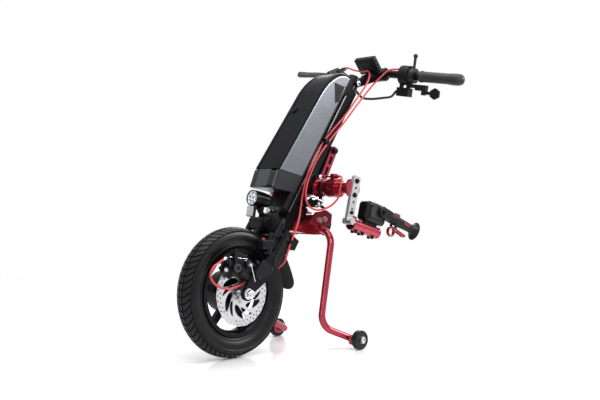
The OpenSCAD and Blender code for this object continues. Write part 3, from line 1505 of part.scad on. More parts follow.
module brake_lever() {
    x = brake_lever_half;
    root = blade_root_w / 2;
    tip_y = brake_y - brake_blade_rise;
    tip_z = brake_pin_z + brake_blade_l;
    color("#3a3a3e") on_brake() difference() {
        union() {
            at(brake_y, brake_pin_z) rod(brake_hub_r, -x, x);
            plate(-x, x, [[brake_y + root, brake_pin_z], [brake_y - root, brake_pin_z],
                [tip_y - blade_tip_w / 2, tip_z - root], [tip_y - blade_tip_w / 2, tip_z],
                [tip_y + blade_tip_w / 2, tip_z]]);
        }
        at(brake_y, brake_pin_z) rod(brake_pin_r + run_gap, -2 * x, 2 * x);
    }
}
module left_control_pod() {
    half = pod_half;
    color("#1b1b1d") on_bar() difference() {
        union() {
            ring(pod_r, bar_r + fit_gap, pod_z0, pod_z1);
            block([bridge_x0, -half, pod_z1 - post_l], [bridge_x1, half, pod_end_z]);
            block([bridge_x0, -half, throttle_z0], [throttle_x1, half, pod_end_z]);
            for (z = [pod_z0, pod_z1 - post_l])
                block([bridge_x0, -half, z], [switch_x0 + over, half, z + post_l]);
            block([switch_x0, -switch_half, switch_z0], [switch_x0 + switch_h, switch_half, switch_z1]);
            up(paddle_z) {
                rod(paddle_pin_r, throttle_x1 - over, paddle_pin_x1);
                rod(paddle_hub_r, paddle_x1 + run_gap, paddle_pin_x1);
            }
        }
        up(pod_z0 - over) cylinder(r = bar_r + fit_gap, h = pod_end_z);
    }
}
module thumb_paddle() {
    color("#3a3a3e") on_bar() up(paddle_z) difference() {
        union() {
            rod(paddle_hub_r, paddle_x0, paddle_x1);
            block([paddle_x0, -paddle_arm_half, 0], [paddle_x1, paddle_arm_half, paddle_reach]);
            translate([paddle_mid_x, paddle_t / 2, paddle_reach]) rotate([90, 0, 0])
                cylinder(r = paddle_r, h = paddle_t, $fn = 6);
        }
        rod(paddle_pin_r + run_gap, paddle_x0 - over, paddle_x1 + over);
    }
}
module lock_lever() {
    mid = (lock_z0 + lock_z1) / 2;
    color("#1f1f22") on_bar() {
        ring(lock_hub_r, bar_r + run_gap, lock_z0, lock_z1);
        up(mid) {
            rod(lock_arm_r, -lock_lever_l, -lock_hub_r + clamp_wall);
            translate([-lock_lever_l, 0, 0]) sphere(r = lock_ball_r);
        }
    }
}

// Cables
module brake_cable() { color("#c8182a") whole() cable(brake_route, cable_r); }
module lock_cable() { color("#c8182a") whole() cable(lock_route, cable_r); }
module harness_cable() { color("#18181a") whole() cable(harness_route, harness_r); }

tyre();
wheel_rim();
motor_shell();
motor_cover();
hub_bearings();
brake_rotor();
wheel_axle();
axle_nuts();
motor_stator();
fork();
mudguard();
caliper_body();
brake_pads();
front_reflector();
stem();
cockpit_bolts();
handlebar();
grips();
display_housing();
brake_lever_body();
left_control_pod();
harness_cable();
brake_cable();
lock_cable();
headlight();
headlight_lens();
brake_lever();
caliper_arm();
lock_lever();
thumb_paddle();
column();
headset_bearings();
battery_dock();
controller();
gusset_plates();
frame_bolts();
stand_bracket();
cross_tube();
link_plates();
latch_rod();
battery_case();
battery_side_panels();
battery_cap();
battery_cells();
key_lock();
stand_frame();
roller_left();
roller_right();
cross_shaft();
hanger_bars();
hanger_screws();
clamp_sleeves();
claw_left();
claw_right();
claw_handle_left();
claw_handle_right();
trigger_left();
trigger_right();
button_left();
button_right();
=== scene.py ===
from math import atan2, copysign, cos, degrees, floor, pi, radians, sin, sqrt, tau

import bmesh
import bpy
from mathutils import Matrix, Vector


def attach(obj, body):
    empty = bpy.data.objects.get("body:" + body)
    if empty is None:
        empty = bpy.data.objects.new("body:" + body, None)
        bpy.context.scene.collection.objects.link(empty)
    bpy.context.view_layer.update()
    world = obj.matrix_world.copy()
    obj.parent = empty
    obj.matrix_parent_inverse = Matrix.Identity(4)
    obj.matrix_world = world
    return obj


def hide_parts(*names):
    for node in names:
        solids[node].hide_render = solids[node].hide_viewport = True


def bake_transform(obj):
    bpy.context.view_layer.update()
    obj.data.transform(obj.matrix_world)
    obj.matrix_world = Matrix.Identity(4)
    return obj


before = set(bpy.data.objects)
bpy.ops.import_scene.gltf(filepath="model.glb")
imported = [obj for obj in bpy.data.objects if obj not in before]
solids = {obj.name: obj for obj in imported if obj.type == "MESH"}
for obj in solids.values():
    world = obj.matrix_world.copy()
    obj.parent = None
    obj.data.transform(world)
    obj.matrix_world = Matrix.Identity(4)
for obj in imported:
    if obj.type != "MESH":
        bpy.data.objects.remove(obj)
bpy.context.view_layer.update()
scene = bpy.context.scene
MM = .001
shifted = Matrix.Translation
OUT, AFT, UP = (1, 0, 0), (0, 1, 0), (0, 0, 1)
INWARD, FORE, DOWN = (-1, 0, 0), (0, -1, 0), (0, 0, -1)


# Local frames of the machine: an origin in millimetres and three axes
def local_frame(origin, x_axis, y_axis, z_axis):
    place = Matrix.Identity(4)
    for column, axis in enumerate((x_axis, y_axis, z_axis, origin)):
        for row in range(3):
            place[row][column] = axis[row]
    for row in range(3):
        place[row][3] *= MM
    return place


def leaning(origin, cosine, sine):
    return local_frame(origin, OUT, (0, cosine, -sine), (0, sine, cosine))


def tilted(angle, axis="X"):
    return Matrix.Rotation(radians(angle), 4, axis)


MIRROR = Matrix.Diagonal((-1, 1, 1, 1))
FLOOR = Matrix.Identity(4)
AXLE_Y, AXLE_Z = -222.6, 159
LEAN_COS, LEAN_SIN = .819152, .573576
COLUMN = leaning((0, -182.462, 130.895), LEAN_COS, LEAN_SIN)
AXLE = local_frame((0, AXLE_Y, AXLE_Z), AFT, UP, OUT)
CALIPER = leaning((0, AXLE_Y, AXLE_Z), -.469472, -.882948)
BAR_DOWN, BAR_AFT = (-.146708, -.0180134, -.989016), (-.121869, .992546, 0)
BAR_OUT = (.981644, .120531, -.147809)
BAR_LEFT = local_frame((33, 337.4, 735), BAR_DOWN, BAR_AFT, BAR_OUT)
BRAKE_LEVER = MIRROR @ BAR_LEFT @ tilted(-32, "Z")
DISPLAY = shifted((0, 284 * MM, 757.5 * MM)) @ tilted(-50)
ARM_LEFT = leaning((146, 60.316, 411.366), .965926, .258819)
LEVER_LEFT = leaning((146, 142.726, 348.909), .939693, .34202)
LAMP = leaning((0, -158.6, 388), .984808, .173648)
LAMP_AXIS = LAMP @ tilted(-90)


# Camera at the photograph's place
def placed(name, data):
    made = bpy.data.objects.new(name, data)
    scene.collection.objects.link(made)
    return made


def face_towards(thing, at, to):
    thing.location = at
    thing.rotation_mode = "QUATERNION"
    thing.rotation_quaternion = (Vector(to) - Vector(at)).to_track_quat("-Z", "Y")


SENSOR_WIDTH, FOCAL_LENGTH = 36, 53.76
CAMERA_AT, CAMERA_TO = (1.6448, -1.6507, .4127), (0, .0112, .3802)
camera_data = bpy.data.cameras.new("studio_camera")
camera_data.sensor_width = SENSOR_WIDTH
camera_data.lens = FOCAL_LENGTH
scene.camera = placed("studio_camera", camera_data)
face_towards(scene.camera, CAMERA_AT, CAMERA_TO)


# Finishes
def new_finish(name):
    finish = bpy.data.materials.new(name)
    finish.use_nodes = True
    tree = finish.node_tree
    return finish, tree, tree.nodes["Principled BSDF"]


def set_inputs(node, **inputs):
    for key, value in inputs.items():
        node.inputs[key].default_value = value
    return node


def add_node(tree, kind, **inputs):
    return set_inputs(tree.nodes.new("ShaderNode" + kind), **inputs)


def link(source, target):
    source.id_data.links.new(source, target)


def surface_place(tree, stretch):
    place = add_node(tree, "TexCoord")
    mapped = add_node(tree, "Mapping", Scale=stretch)
    link(place.outputs["Object"], mapped.inputs["Vector"])
    return mapped.outputs["Vector"]


def grain_noise(tree, place, scale, detail=3):
    noise = add_node(tree, "TexNoise", Scale=scale, Detail=detail, Roughness=.55)
    link(place, noise.inputs["Vector"])
    return noise.outputs["Fac"]


def spread_between(tree, value, low, high, start=.3, stop=.7):
    limits = {"From Min": start, "From Max": stop, "To Min": low, "To Max": high}
    ranged = add_node(tree, "MapRange", **limits)
    link(value, ranged.inputs["Value"])
    return ranged.outputs["Result"]


def tone_between(tree, value, dark, light):
    mix = tree.nodes.new("ShaderNodeMix")
    mix.data_type = "RGBA"
    set_inputs(mix, A=(*dark, 1), B=(*light, 1))
    link(value, mix.inputs["Factor"])
    return mix.outputs["Result"]


def dent_surface(tree, shader, height, distance):
    bump = add_node(tree, "Bump", Strength=1, Distance=distance)
    link(height, bump.inputs["Height"])
    link(bump.outputs["Normal"], shader.inputs["Normal"])


def plain_finish(name, tone, metallic=0, rough=.45, vary=.08, grain=700, stretch=(1, 1, 1),
                 dent=.00003, mottle=.12, cloud=22, specular=.5, clear=0):
    finish, tree, shader = new_finish(name)
    place = surface_place(tree, stretch)
    fine = grain_noise(tree, place, grain)
    broad = spread_between(tree, grain_noise(tree, place, cloud, 5), 0, 1)
    dark = tuple(part * (1 - mottle) for part in tone)
    light = tuple(part * (1 + mottle) for part in tone)
    shade = tone_between(tree, broad, dark, light)
    sheen = spread_between(tree, fine, rough - vary, rough + vary)
    link(shade, shader.inputs["Base Color"])
    link(sheen, shader.inputs["Roughness"])
    dent_surface(tree, shader, fine, dent)
    fixed = {"Metallic": metallic, "Specular IOR Level": specular, "Transmission Weight": clear}
    set_inputs(shader, **fixed)
    return finish


SATIN_BLACK = plain_finish("satin_black_paint", (.003, .003, .004), rough=.26, specular=.11)
BLADE_GLOSS = plain_finish(
    "blade_gloss_black", (.003, .003, .004), rough=.18, vary=.03, specular=.22)
CLAW_BLACK = plain_finish(
    "claw_black", (.004, .004, .005), rough=.2, vary=.04, grain=1500, specular=.15)
CALIPER_BLACK = plain_finish(
    "caliper_black", (.005, .005, .006), metallic=.1, rough=.36, dent=.00006, specular=.15)
GLOSS_BLACK = plain_finish(
    "gloss_black_shell", (.0022, .0025, .004), rough=.38, vary=.04, specular=.08)
CAP_BLACK = plain_finish(
    "battery_cap_black", (.016, .017, .02), metallic=.35, rough=.3, vary=.04, specular=.3)
MATT_BLACK = plain_finish(
    "matt_black_plastic", (.005, .005, .006), rough=.44, grain=1500, dent=.00006, specular=.12)
DARK_ALLOY = plain_finish(
    "dark_cast_alloy", (.022, .022, .024), metallic=.6, rough=.42, dent=.00006, specular=.3)
KNOB_BLUE_BLACK = plain_finish("blue_black_knob", (.03, .036, .055), rough=.4, specular=.3)
WINDOW_GREY = plain_finish("smoked_window", (.03, .034, .042), rough=.22, vary=.04, specular=.4)
PANEL_GREY = plain_finish(
    "battery_panel_grey", (.135, .14, .157), metallic=.8, rough=.3, vary=.04, grain=2400,
    mottle=.06)
RED_METAL = plain_finish(
    "red_anodised_metal", (.32, .038, .055), metallic=.82, rough=.2, vary=.04, grain=1200,
    mottle=.1)
RED_HOUSING = plain_finish("red_cable_housing", (.44, .022, .03), rough=.38, vary=.05, mottle=.06)
BLACK_LEAD = plain_finish("black_lead", (.009, .009, .009), rough=.5, specular=.25)
STEEL = plain_finish(
    "brushed_steel", (.5, .5, .52), metallic=1, rough=.3, grain=240, stretch=(1, 9, 9), mottle=.08)
EDGE_HIGHLIGHT_STEEL = plain_finish(
    "dull_edge_highlight_steel", (.2, .2, .21), metallic=1, rough=.38, grain=300, mottle=.1)
LEVER_GREY = plain_finish(
    "lever_grey", (.032, .033, .037), metallic=.8, rough=.34, grain=900, mottle=.1)
CHROME = plain_finish(
    "bright_chrome", (.75, .75, .78), metallic=1, rough=.14, vary=.03, dent=.00001, mottle=.04)
ALUMINIUM = plain_finish(
    "brushed_aluminium", (.44, .445, .45), metallic=1, rough=.34, grain=300, stretch=(9, 1, 1),
    mottle=.07)
RUBBER = plain_finish(
    "grip_rubber", (.01, .01, .011), rough=.44, grain=1300, dent=.0001, specular=.35)
TYRE_RUBBER = plain_finish(
    "tyre_rubber", (.006, .006, .007), rough=.4, grain=800, dent=.0001, mottle=.3, cloud=60,
    specular=.2)
ROLLER_BLACK = plain_finish("roller_black", (.006, .006, .007), rough=.34, grain=900, specular=.22)
# Darker, duller rubber for the groove walls: painted shade in the tread grooves.
TYRE_GROOVE_SHADE = plain_finish("tyre_groove_painted_shade", (.0025, .0025, .003), rough=.7, grain=800, specular=.06)
TYRE_WALL = plain_finish(
    "tyre_wall", (.0045, .0045, .005), rough=.32, grain=900, dent=.00006, mottle=.3, cloud=60,
    specular=.15)
CORE_STEEL = plain_finish("core_steel", (.2, .19, .18), metallic=1, rough=.55)
CELL_WRAP = plain_finish("cell_wrap", (.05, .18, .12), rough=.4)
LENS_GLASS = plain_finish("lamp_lens", (.9, .92, .95), rough=.06, vary=.02, mottle=.03, clear=.9)
REFLECTOR = plain_finish(
    "clear_reflector", (.55, .56, .58), rough=.15, vary=.05, grain=420, dent=.0004, clear=.3)

NODE_FINISH = {
    SATIN_BLACK: "cockpit_bolts wheel_rim motor_shell motor_cover fork stem handlebar "
                 "hanger_screws column",
    GLOSS_BLACK: "battery_case",
    MATT_BLACK: "mudguard display_housing left_control_pod battery_dock headlight thumb_paddle "
                "battery_cap claw_left claw_right claw_handle_left claw_handle_right",
    CALIPER_BLACK: "caliper_body caliper_arm",
    LEVER_GREY: "brake_lever_body brake_lever",
    DARK_ALLOY: "controller lock_lever brake_pads",
    PANEL_GREY: "battery_side_panels",
    RED_METAL: "gusset_plates stand_bracket cross_tube link_plates stand_frame cross_shaft "
               "clamp_sleeves trigger_left trigger_right button_left button_right",
    STEEL: "brake_rotor wheel_axle hub_bearings headset_bearings frame_bolts",
    CHROME: "axle_nuts latch_rod key_lock",
    ALUMINIUM: "hanger_bars",
    RUBBER: "grips roller_left roller_right",
    TYRE_RUBBER: "tyre",
    CORE_STEEL: "motor_stator",
    CELL_WRAP: "battery_cells",
    LENS_GLASS: "headlight_lens",
    REFLECTOR: "front_reflector",
    RED_HOUSING: "brake_cable lock_cable",
    BLACK_LEAD: "harness_cable",
}
for finish, names in NODE_FINISH.items():
    for name in names.split():
        solid = solids[name]
        if not solid.material_slots:
            solid.data.materials.append(finish)
        for held in solid.material_slots:
            held.material = finish


# Cables, on the routes of the part's source
ROUTE_STEPS, CABLE_ROUND, LEAD_OUT = 6, 4, 9
CABLE_R, HARNESS_R, LAMP_LEAD_R = .0025, .0034, .0012


def smooth_route(points):
    points = [Vector((x, y + AXLE_Y, z)) * MM for x, y, z in points]
    last = len(points) - 1
    run = []
    for i in range(last):
        p0, p1, p2, p3 = points[max(i - 1, 0)], points[i], points[i + 1], points[min(i + 2, last)]
        for k in range(ROUTE_STEPS):
            u = k / ROUTE_STEPS
            run.append(.5 * (2 * p1 + (p2 - p0) * u + (2 * p0 - 5 * p1 + 4 * p2 - p3) * u * u
                             + (3 * p1 - p0 - 3 * p2 + p3) * u ** 3))
    return run + [points[last]]


def add_line(data, points, closed=False):
    spline = data.splines.new("POLY")
    spline.points.add(len(points) - 1)
    for point, place in zip(spline.points, points):
        point.co = (*place, 1)
    spline.use_cyclic_u = closed


def curve_mesh(name, data):
    drawn = placed(name + "_line", data)
    bpy.context.view_layer.update()
    final = drawn.evaluated_get(bpy.context.evaluated_depsgraph_get())
    mesh = bpy.data.meshes.new_from_object(final)
    bpy.data.objects.remove(drawn)
    mesh.name = name
    return mesh


def straight(end, way):
    return [end, tuple(a + LEAD_OUT * b for a, b in zip(end, way))]


BAR_IN, BRAKE_IN = tuple(-part for part in BAR_OUT), (BAR_OUT[0], -BAR_OUT[1], -BAR_OUT[2])
BRAKE_ROUTE = straight((-94.45, 517.99, 757.73), BRAKE_IN) + [
    (-60, 516, 750), (-24, 508, 742), (2, 502, 741), (20, 490, 726), (27, 466, 696),
    (29, 420, 650), (29, 376, 606), (28, 320, 558), (28, 268, 506), (28, 232, 446),
    (36, 206, 390), (58, 172, 336), (64, 150, 300), (64, 132, 266), (62, 125, 246),
    (54, 122, 226), (44, 102, 208), (41, 70, 196), (41, 30, 186), (42, -8, 180), (48, -38, 176),
    (56, -76, 178), (60, -106, 192), (60, -118, 211), (58, -108, 229), (55, -88, 239),
    (52.9, -66.93, 248.67)]
LOCK_ROUTE = straight((80.1, 549.66, 742.36), BAR_IN) + [
    (48, 540, 742), (31, 520, 720), (30, 492, 698), (34, 458, 672), (36, 412, 632),
    (35, 368, 588), (34, 312, 538), (34, 262, 486), (34, 228, 428), (48, 206, 388),
    (68, 200, 364), (88, 214, 356), (106, 236, 366), (120, 249, 386), (125, 252, 410),
    (121, 262, 431)] + straight((98.1, 274.92, 440.77), OUT)[::-1]
HARNESS_ROUTE = straight((64.29, 563.84, 682.77), BAR_IN) + [
    (44, 556, 670), (26, 540, 666), (10, 508, 662), (3, 478, 664)] + straight(
        (0, 450.98, 684.34), (0, LEAN_COS, -LEAN_SIN))[::-1]
LAMP_ROUTE = [(0, 124.4, 377.6), (.6, 127.6, 377.5), (1.2, 130.6, 377), (2, 133.2, 374.6),
              (3, 134.6, 370), (4, 135.6, 365), (5, 137.2, 360), (5.7, 138.8, 356.4),
              (6, 139.9, 353.6)]


def column_point(across, aft, up):
    return COLUMN @ (Vector((across, aft, up)) * MM)


def cut_run(run, share_point):
    nearest = min(range(len(run)), key=lambda i: (run[i] - share_point).length)
    return run[:nearest + 1], run[nearest:]


def lay_cable(name, run, radius, finish, replaced, bodies):
    data = bpy.data.curves.new(name, "CURVE")
    data.dimensions = "3D"
    data.bevel_depth = radius
    data.bevel_resolution = CABLE_ROUND
    data.use_fill_caps = True
    add_line(data, run)
    mesh = curve_mesh(name, data)
    mesh.materials.clear()
    mesh.materials.append(finish)
    mesh.shade_smooth()
    laid = placed(name, mesh)
    if len(bodies) == 1:
        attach(laid, bodies[0])
    else:
        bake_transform(laid)
    if replaced:
        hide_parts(replaced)


CLIP_POINT = column_point(31, -17, 478)
brake_top, brake_low = cut_run(smooth_route(BRAKE_ROUTE), CLIP_POINT)
lock_top, lock_low = cut_run(smooth_route(LOCK_ROUTE), CLIP_POINT)
TOP_TURN = ("steering", "frame", column_point(0, 0, 715), column_point(0, 0, 620))
FOOT_TURN = ("frame", "steering", column_point(0, 0, 330), column_point(0, 0, 150))
POD_TURN = ("steering", "frame", column_point(0, 60, 690), column_point(0, 20, 690))
LAMP_TURN = ("lamp", "steering", column_point(0, -70, 252), column_point(0, -50, 241))
RED_RUNS = (
    ("brake_cable", "top", brake_top, TOP_TURN), ("brake_cable", "foot", brake_low, FOOT_TURN),
    ("lock_cable", "top", lock_top, TOP_TURN), ("lock_cable", "foot", lock_low, ("frame",)))
for node, end, run, bodies in RED_RUNS:
    lay_cable(node + "_" + end, run, CABLE_R, RED_HOUSING, node, bodies)
lay_cable("harness_lead", smooth_route(HARNESS_ROUTE), HARNESS_R, BLACK_LEAD,
          "harness_cable", POD_TURN)
lay_cable("lamp_lead", smooth_route(LAMP_ROUTE), LAMP_LEAD_R, BLACK_LEAD, None,
          LAMP_TURN)


# Slots that most pieces share
PLASTIC, METAL = "black_plastic", "black_metal"

# Shapes, each made in millimetres in its own frame
MERGE_WITHIN = .001


def tidied(shape):
    bmesh.ops.remove_doubles(shape, verts=shape.verts, dist=MERGE_WITHIN)
    bmesh.ops.recalc_face_normals(shape, faces=shape.faces)
    return shape


def rounded(shape, edges, width, segments=3):
    bmesh.ops.bevel(shape, geom=edges, offset=width, affect="EDGES", segments=segments,
                    profile=.5, material=-1, clamp_overlap=True)
    return shape


def softened(shape, width, segments):
    return rounded(shape, shape.edges[:], width, segments) if width else shape


def edges_where(shape, test):
    return [edge for edge in shape.edges if all(test(vert.co) for vert in edge.verts)]


def only(kind, grown):
    return [part for part in grown if isinstance(part, kind)]


def polar(radius, turn):
    return radius * cos(turn), radius * sin(turn)


def oblong(y, z, far_y, far_z):
    return [(y, z), (far_y, z), (far_y, far_z), (y, far_z)]


def turned(profile, steps=40, closed=False):
    shape = bmesh.new()
    line = [shape.verts.new((r, 0, z)) for r, z in profile]
    ring = line + line[:1] if closed else line
    edges = [shape.edges.new(ends) for ends in zip(ring, ring[1:])]
    bmesh.ops.spin(shape, geom=line + edges, axis=UP, angle=tau, steps=steps, use_merge=True)
    return tidied(shape)


def slab(outline, low, high, width=0, segments=3):
    shape = bmesh.new()
    face = shape.faces.new([shape.verts.new((low, y, z)) for y, z in outline])
    grown = bmesh.ops.extrude_face_region(shape, geom=[face])["geom"]
    bmesh.ops.translate(shape, vec=(high - low, 0, 0), verts=only(bmesh.types.BMVert, grown))
    bmesh.ops.recalc_face_normals(shape, faces=shape.faces)
    return softened(shape, width, segments)


def block(low, high, width=0, segments=3):
    size = Matrix.Diagonal((*(b - a for a, b in zip(low, high)), 1))
    middle = shifted([(a + b) / 2 for a, b in zip(low, high)])
    shape = bmesh.new()
    bmesh.ops.create_cube(shape, size=1, matrix=middle @ size)
    return softened(shape, width, segments)


def moved(shape, place):
    bmesh.ops.transform(shape, matrix=place, verts=shape.verts)
    return shape


def joined(*shapes):
    for other in shapes[1:]:
        mesh = bpy.data.meshes.new("joined_part")
        other.to_mesh(mesh)
        other.free()
        shapes[0].from_mesh(mesh)
        bpy.data.meshes.remove(mesh)
    return shapes[0]


def aimed(at, way):
    return shifted(at) @ Vector(way).to_track_quat("Z", "Y").to_matrix().to_4x4()


def turned_at(at, way, profile, steps=40, closed=False):
    return moved(turned(profile, steps, closed), aimed(at, way))


def ring_of(make, count, radius, x, way):
    turns = [tau * (k + .25) / count for k in range(count)]
    return joined(*(make((*polar(radius, turn), x), way) for turn in turns))


def socket_screw(radius, height, at, way):
    key = radius * .48
    return turned_at(at, way, [
        (0, height * .4), (key, height * .4), (key, height), (radius * .86, height),
        (radius, height * .86), (radius, -.5), (0, -.5)], 24)


def screw_set(radius, height, way, places):
    return joined(*(socket_screw(radius, height, at, way) for at in places))


def screwed_block(low, high, width, *screw):
    return joined(block(low, high, width), socket_screw(*screw))


def hex_bolt(radius, height, at, way):
    return turned_at(at, way, [
        (0, height), (radius * .8, height), (radius, height * .8), (radius, 0),
        (radius * 1.25, 0), (radius * 1.25, -1), (0, -1)], 6)


def piece(name, shape, place, finish, body, slot, *replaced, crease=40):
    bmesh.ops.transform(shape, matrix=place @ Matrix.Scale(MM, 4), verts=shape.verts)
    bmesh.ops.recalc_face_normals(shape, faces=shape.faces)
    mesh = bpy.data.meshes.new(name)
    shape.to_mesh(mesh)
    shape.free()
    for layer in finish if isinstance(finish, tuple) else (finish,):
        mesh.materials.append(layer)
    mesh.shade_smooth()
    mesh.set_sharp_from_angle(angle=radians(crease))
    made = placed(name, mesh)
    made.modifiers.new("even_shading", "WEIGHTED_NORMAL").keep_sharp = True
    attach(made, body)
    if replaced:
        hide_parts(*replaced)


def pair(name, make, place, finish, body, slot, *replaced, crease=40):
    for side, matrix in (("left", place), ("right", MIRROR @ place)):
        piece(name + "_" + side, make(), matrix, finish, body.format(side), slot,
              *(node.format(side) for node in replaced), crease=crease)


# Wheel
TREAD_PITCHES, SHOULDER_X, RIB_X, LEAD_CURVE = 60, 24.5, 5, 1.8
TREAD_PITCH = tau / TREAD_PITCHES
CROWN_R, CROWN_DROP, TREAD_R = 156, 9.5, 146
GROOVE_HALF, GROOVE_DEPTH = 1.5, 2.8
TREAD, SHADED_GROOVE, WALL = range(3)
ROTOR_R, ROTOR_WAVE, ROTOR_WAVES, ROTOR_THICK, ROTOR_X = 79.3, .6, 18, 2, 34
ROTOR_ARMS, ROTOR_HOLES, ROTOR_HOLE_R, WINDOW_STEPS = 6, 36, 2.2, 8


def groove_lead(x):
    share = max(abs(x) - RIB_X, 0) / (SHOULDER_X - RIB_X)
    return TREAD_PITCH * (1 - share ** LEAD_CURVE)


def tyre_shape():
    wall = [(101.8, 12), (101.8, 19.3), (107.6, 19.5), (109.5, 21.4), (113, 23), (114.2, 24.2),
            (115.6, 24.2), (116.8, 23.8), (124, 27), (131, 28.2), (137, 27.8), (138, 28.4),
            (139.6, 28), (140.4, 27), (146.5, SHOULDER_X)]
    rows = (20.5, 15.5, 10.5, RIB_X, -RIB_X, -10.5, -15.5, -20.5)
    crown = [(CROWN_R - CROWN_DROP * (x / SHOULDER_X) ** 2, x) for x in rows]
    far_wall = [(r, -x) for r, x in reversed(wall)]
    shape = turned(wall + crown + far_wall, TREAD_PITCHES, True)
    lugs = {}
    for face in shape.faces:
        middle = face.calc_center_median()
        face.material_index = WALL
        if middle.xy.length > TREAD_R:
            step = floor(atan2(middle.y, middle.x) / TREAD_PITCH)
            side = 0 if abs(middle.z) < RIB_X else copysign(1, middle.z)
            lugs.setdefault((side, step), []).append(face)
    for x in rows:
        ring = [v for v in shape.verts if abs(v.co.z - x) < .01 and v.co.xy.length > TREAD_R]
        lead = Matrix.Rotation(groove_lead(x), 3, "Z")
        bmesh.ops.rotate(shape, verts=ring, matrix=lead)
    for faces in lugs.values():
        # The inset rims are the groove walls; they take the darker rubber as painted shade.
        shaded_rims = bmesh.ops.inset_region(
            shape, faces=faces, thickness=GROOVE_HALF, depth=GROOVE_DEPTH, use_boundary=True,
            use_even_offset=True)["faces"]
        for face in faces:
            face.material_index = TREAD
        for face in shaded_rims:
            face.material_index = SHADED_GROOVE
    return shape


def round_outline(radius, steps, at=(0, 0)):
    ring = (polar(radius, tau * k / steps) for k in range(steps))
    return [(at[0] + x, at[1] + y) for x, y in ring]


def rotor_window(turn, near, far, sweep, width):
    shares = [k / WINDOW_STEPS for k in range(WINDOW_STEPS + 1)]
    ways = [(near + (far - near) * share, turn + sweep * share,
             width / 2 * sin(pi * (.07 + .86 * share)) ** .7) for share in shares]
    return ([polar(r, a + half / r) for r, a, half in ways]
            + [polar(r, a - half / r) for r, a, half in reversed(ways)])


def cut_plate(name, outlines, thick):
    data = bpy.data.curves.new(name, "CURVE")
    data.dimensions = "2D"
    data.fill_mode = "BOTH"
    data.extrude = thick / 2
    for outline in outlines:
        add_line(data, [(x, y, 0) for x, y in outline], True)
    mesh = curve_mesh(name, data)
    shape = bmesh.new()
    shape.from_mesh(mesh)
    bpy.data.meshes.remove(mesh)
    return tidied(shape)


def rotor_shape():
    turns = (pi * k / 90 for k in range(180))
    rim = [polar(ROTOR_R + ROTOR_WAVE * cos(ROTOR_WAVES * a), a) for a in turns]
    outlines = [rim, round_outline(14.6, 40)]
    for k in range(ROTOR_ARMS):
        turn = tau * k / ROTOR_ARMS
        outlines += [rotor_window(turn, 31, 62.5, .66, 25),
                     rotor_window(turn + .5, 34, 61, .56, 13)]
    for k in range(ROTOR_HOLES):
        turn = tau * k / ROTOR_HOLES
        outlines += [round_outline(ROTOR_HOLE_R, 8, polar(75, turn)),
                     round_outline(ROTOR_HOLE_R, 8, polar(67.8, turn + .0873))]
    return moved(cut_plate("rotor_disc", outlines, ROTOR_THICK), shifted((0, 0, ROTOR_X)))


piece("tyre_tread", tyre_shape(), AXLE, (TYRE_RUBBER, TYRE_GROOVE_SHADE, TYRE_WALL), "wheel", "tyre",
      "tyre", crease=32)
piece("rotor_disc", rotor_shape(), AXLE, STEEL, "wheel", "steel", "brake_rotor", crease=30)
piece("rotor_screws", ring_of(lambda at, way: socket_screw(4, 2.4, at, way), 6, 22, 35, UP),
      AXLE, STEEL, "wheel", "steel")
piece("motor_screws", ring_of(lambda at, way: socket_screw(4.2, 2.6, at, way), 8, 40, -40, DOWN),
      AXLE, DARK_ALLOY, "wheel", "dark_alloy")


# Mudguard
GUARD_LOW, GUARD_SWEEP, GUARD_TAIL, GUARD_R = 12.7, 25.2, 18.4, 288.4
GUARD_HALF, GUARD_CROWN, GUARD_WALL, GUARD_CENTRE = 31, 2.5, 2.4, (-91.4, -71.4, 0)


def mudguard_shape():
    shape = bmesh.new()
    start = Matrix.Rotation(radians(GUARD_LOW), 3, "Z")
    rows = (-GUARD_HALF, -28, -22, -14, -5, 5, 14, 22, 28, GUARD_HALF)
    line = [shape.verts.new(start @ Vector(
        (GUARD_R - GUARD_CROWN * abs(x / GUARD_HALF) ** 3, 0, x))) for x in rows]
    edges = [shape.edges.new(ends) for ends in zip(line, line[1:])]
    bmesh.ops.spin(shape, geom=line + edges, axis=UP, angle=radians(GUARD_SWEEP), steps=36)
    for vert in shape.verts:
        short = GUARD_TAIL - degrees(atan2(vert.co.y, vert.co.x))
        if short > 0:
            vert.co.z *= sqrt(max(0, 1 - (short / (GUARD_TAIL - GUARD_LOW + .08)) ** 2))
    tidied(shape)
    bmesh.ops.solidify(shape, geom=shape.faces[:], thickness=GUARD_WALL)
    return moved(tidied(shape), shifted(GUARD_CENTRE))


piece("mudguard_shell", mudguard_shape(), AXLE, MATT_BLACK, "steering", PLASTIC,
      "mudguard", crease=50)
piece("mudguard_tab", screwed_block((-11, 0, 157), (11, 17, 168), 1.5, 4, 3, (0, 8, 157), DOWN),
      COLUMN, SATIN_BLACK, "steering", PLASTIC)


# Battery
CASE_BACK, DOME_Z, DOME_DEEP, DOME_HIGH = -50, 545, 72, 128
PANEL_IN, PANEL_OUT, FACE_X, CORNER_R = 29, 44, 43, 12
WINDOW_LINE = [(-133, 308), (-123.4, 264), (-122.6, 264.2), (-132.2, 308.2)]
KEY = COLUMN @ aimed((-17 * MM, -125 * MM, 506 * MM), FORE)


def case_outline(inset=0):
    dome = [(CASE_BACK - (DOME_DEEP - inset) * sin(k * pi / 32),
             DOME_Z + (DOME_HIGH - inset) * cos(k * pi / 32)) for k in range(17)]
    return [(CASE_BACK, 344.6)] + dome + [(-132 + inset, 310.8)]


def battery_core_shape():
    core = slab(case_outline(1), -31, 31)
    rail = block((-5, -51, 352), (5, -44.5, 600), 1)
    return joined(rounded(core, edges_where(core, lambda p: p.y < -52), .8, 2), rail)


def battery_panel_shape():
    panel = slab(case_outline(), PANEL_IN, PANEL_OUT)
    front = edges_where(panel, lambda p: p.x > FACE_X and p.y < -49 and (p.z > 600 or p.y < -100))
    rounded(panel, front, CORNER_R, 6)
    back = edges_where(panel, lambda p: p.x > FACE_X and p.y > -51 and p.z < 672)
    rounded(panel, back, 2)
    panel.normal_update()
    for face in panel.faces:
        face.material_index = int(face.normal.x < .95)
    return panel


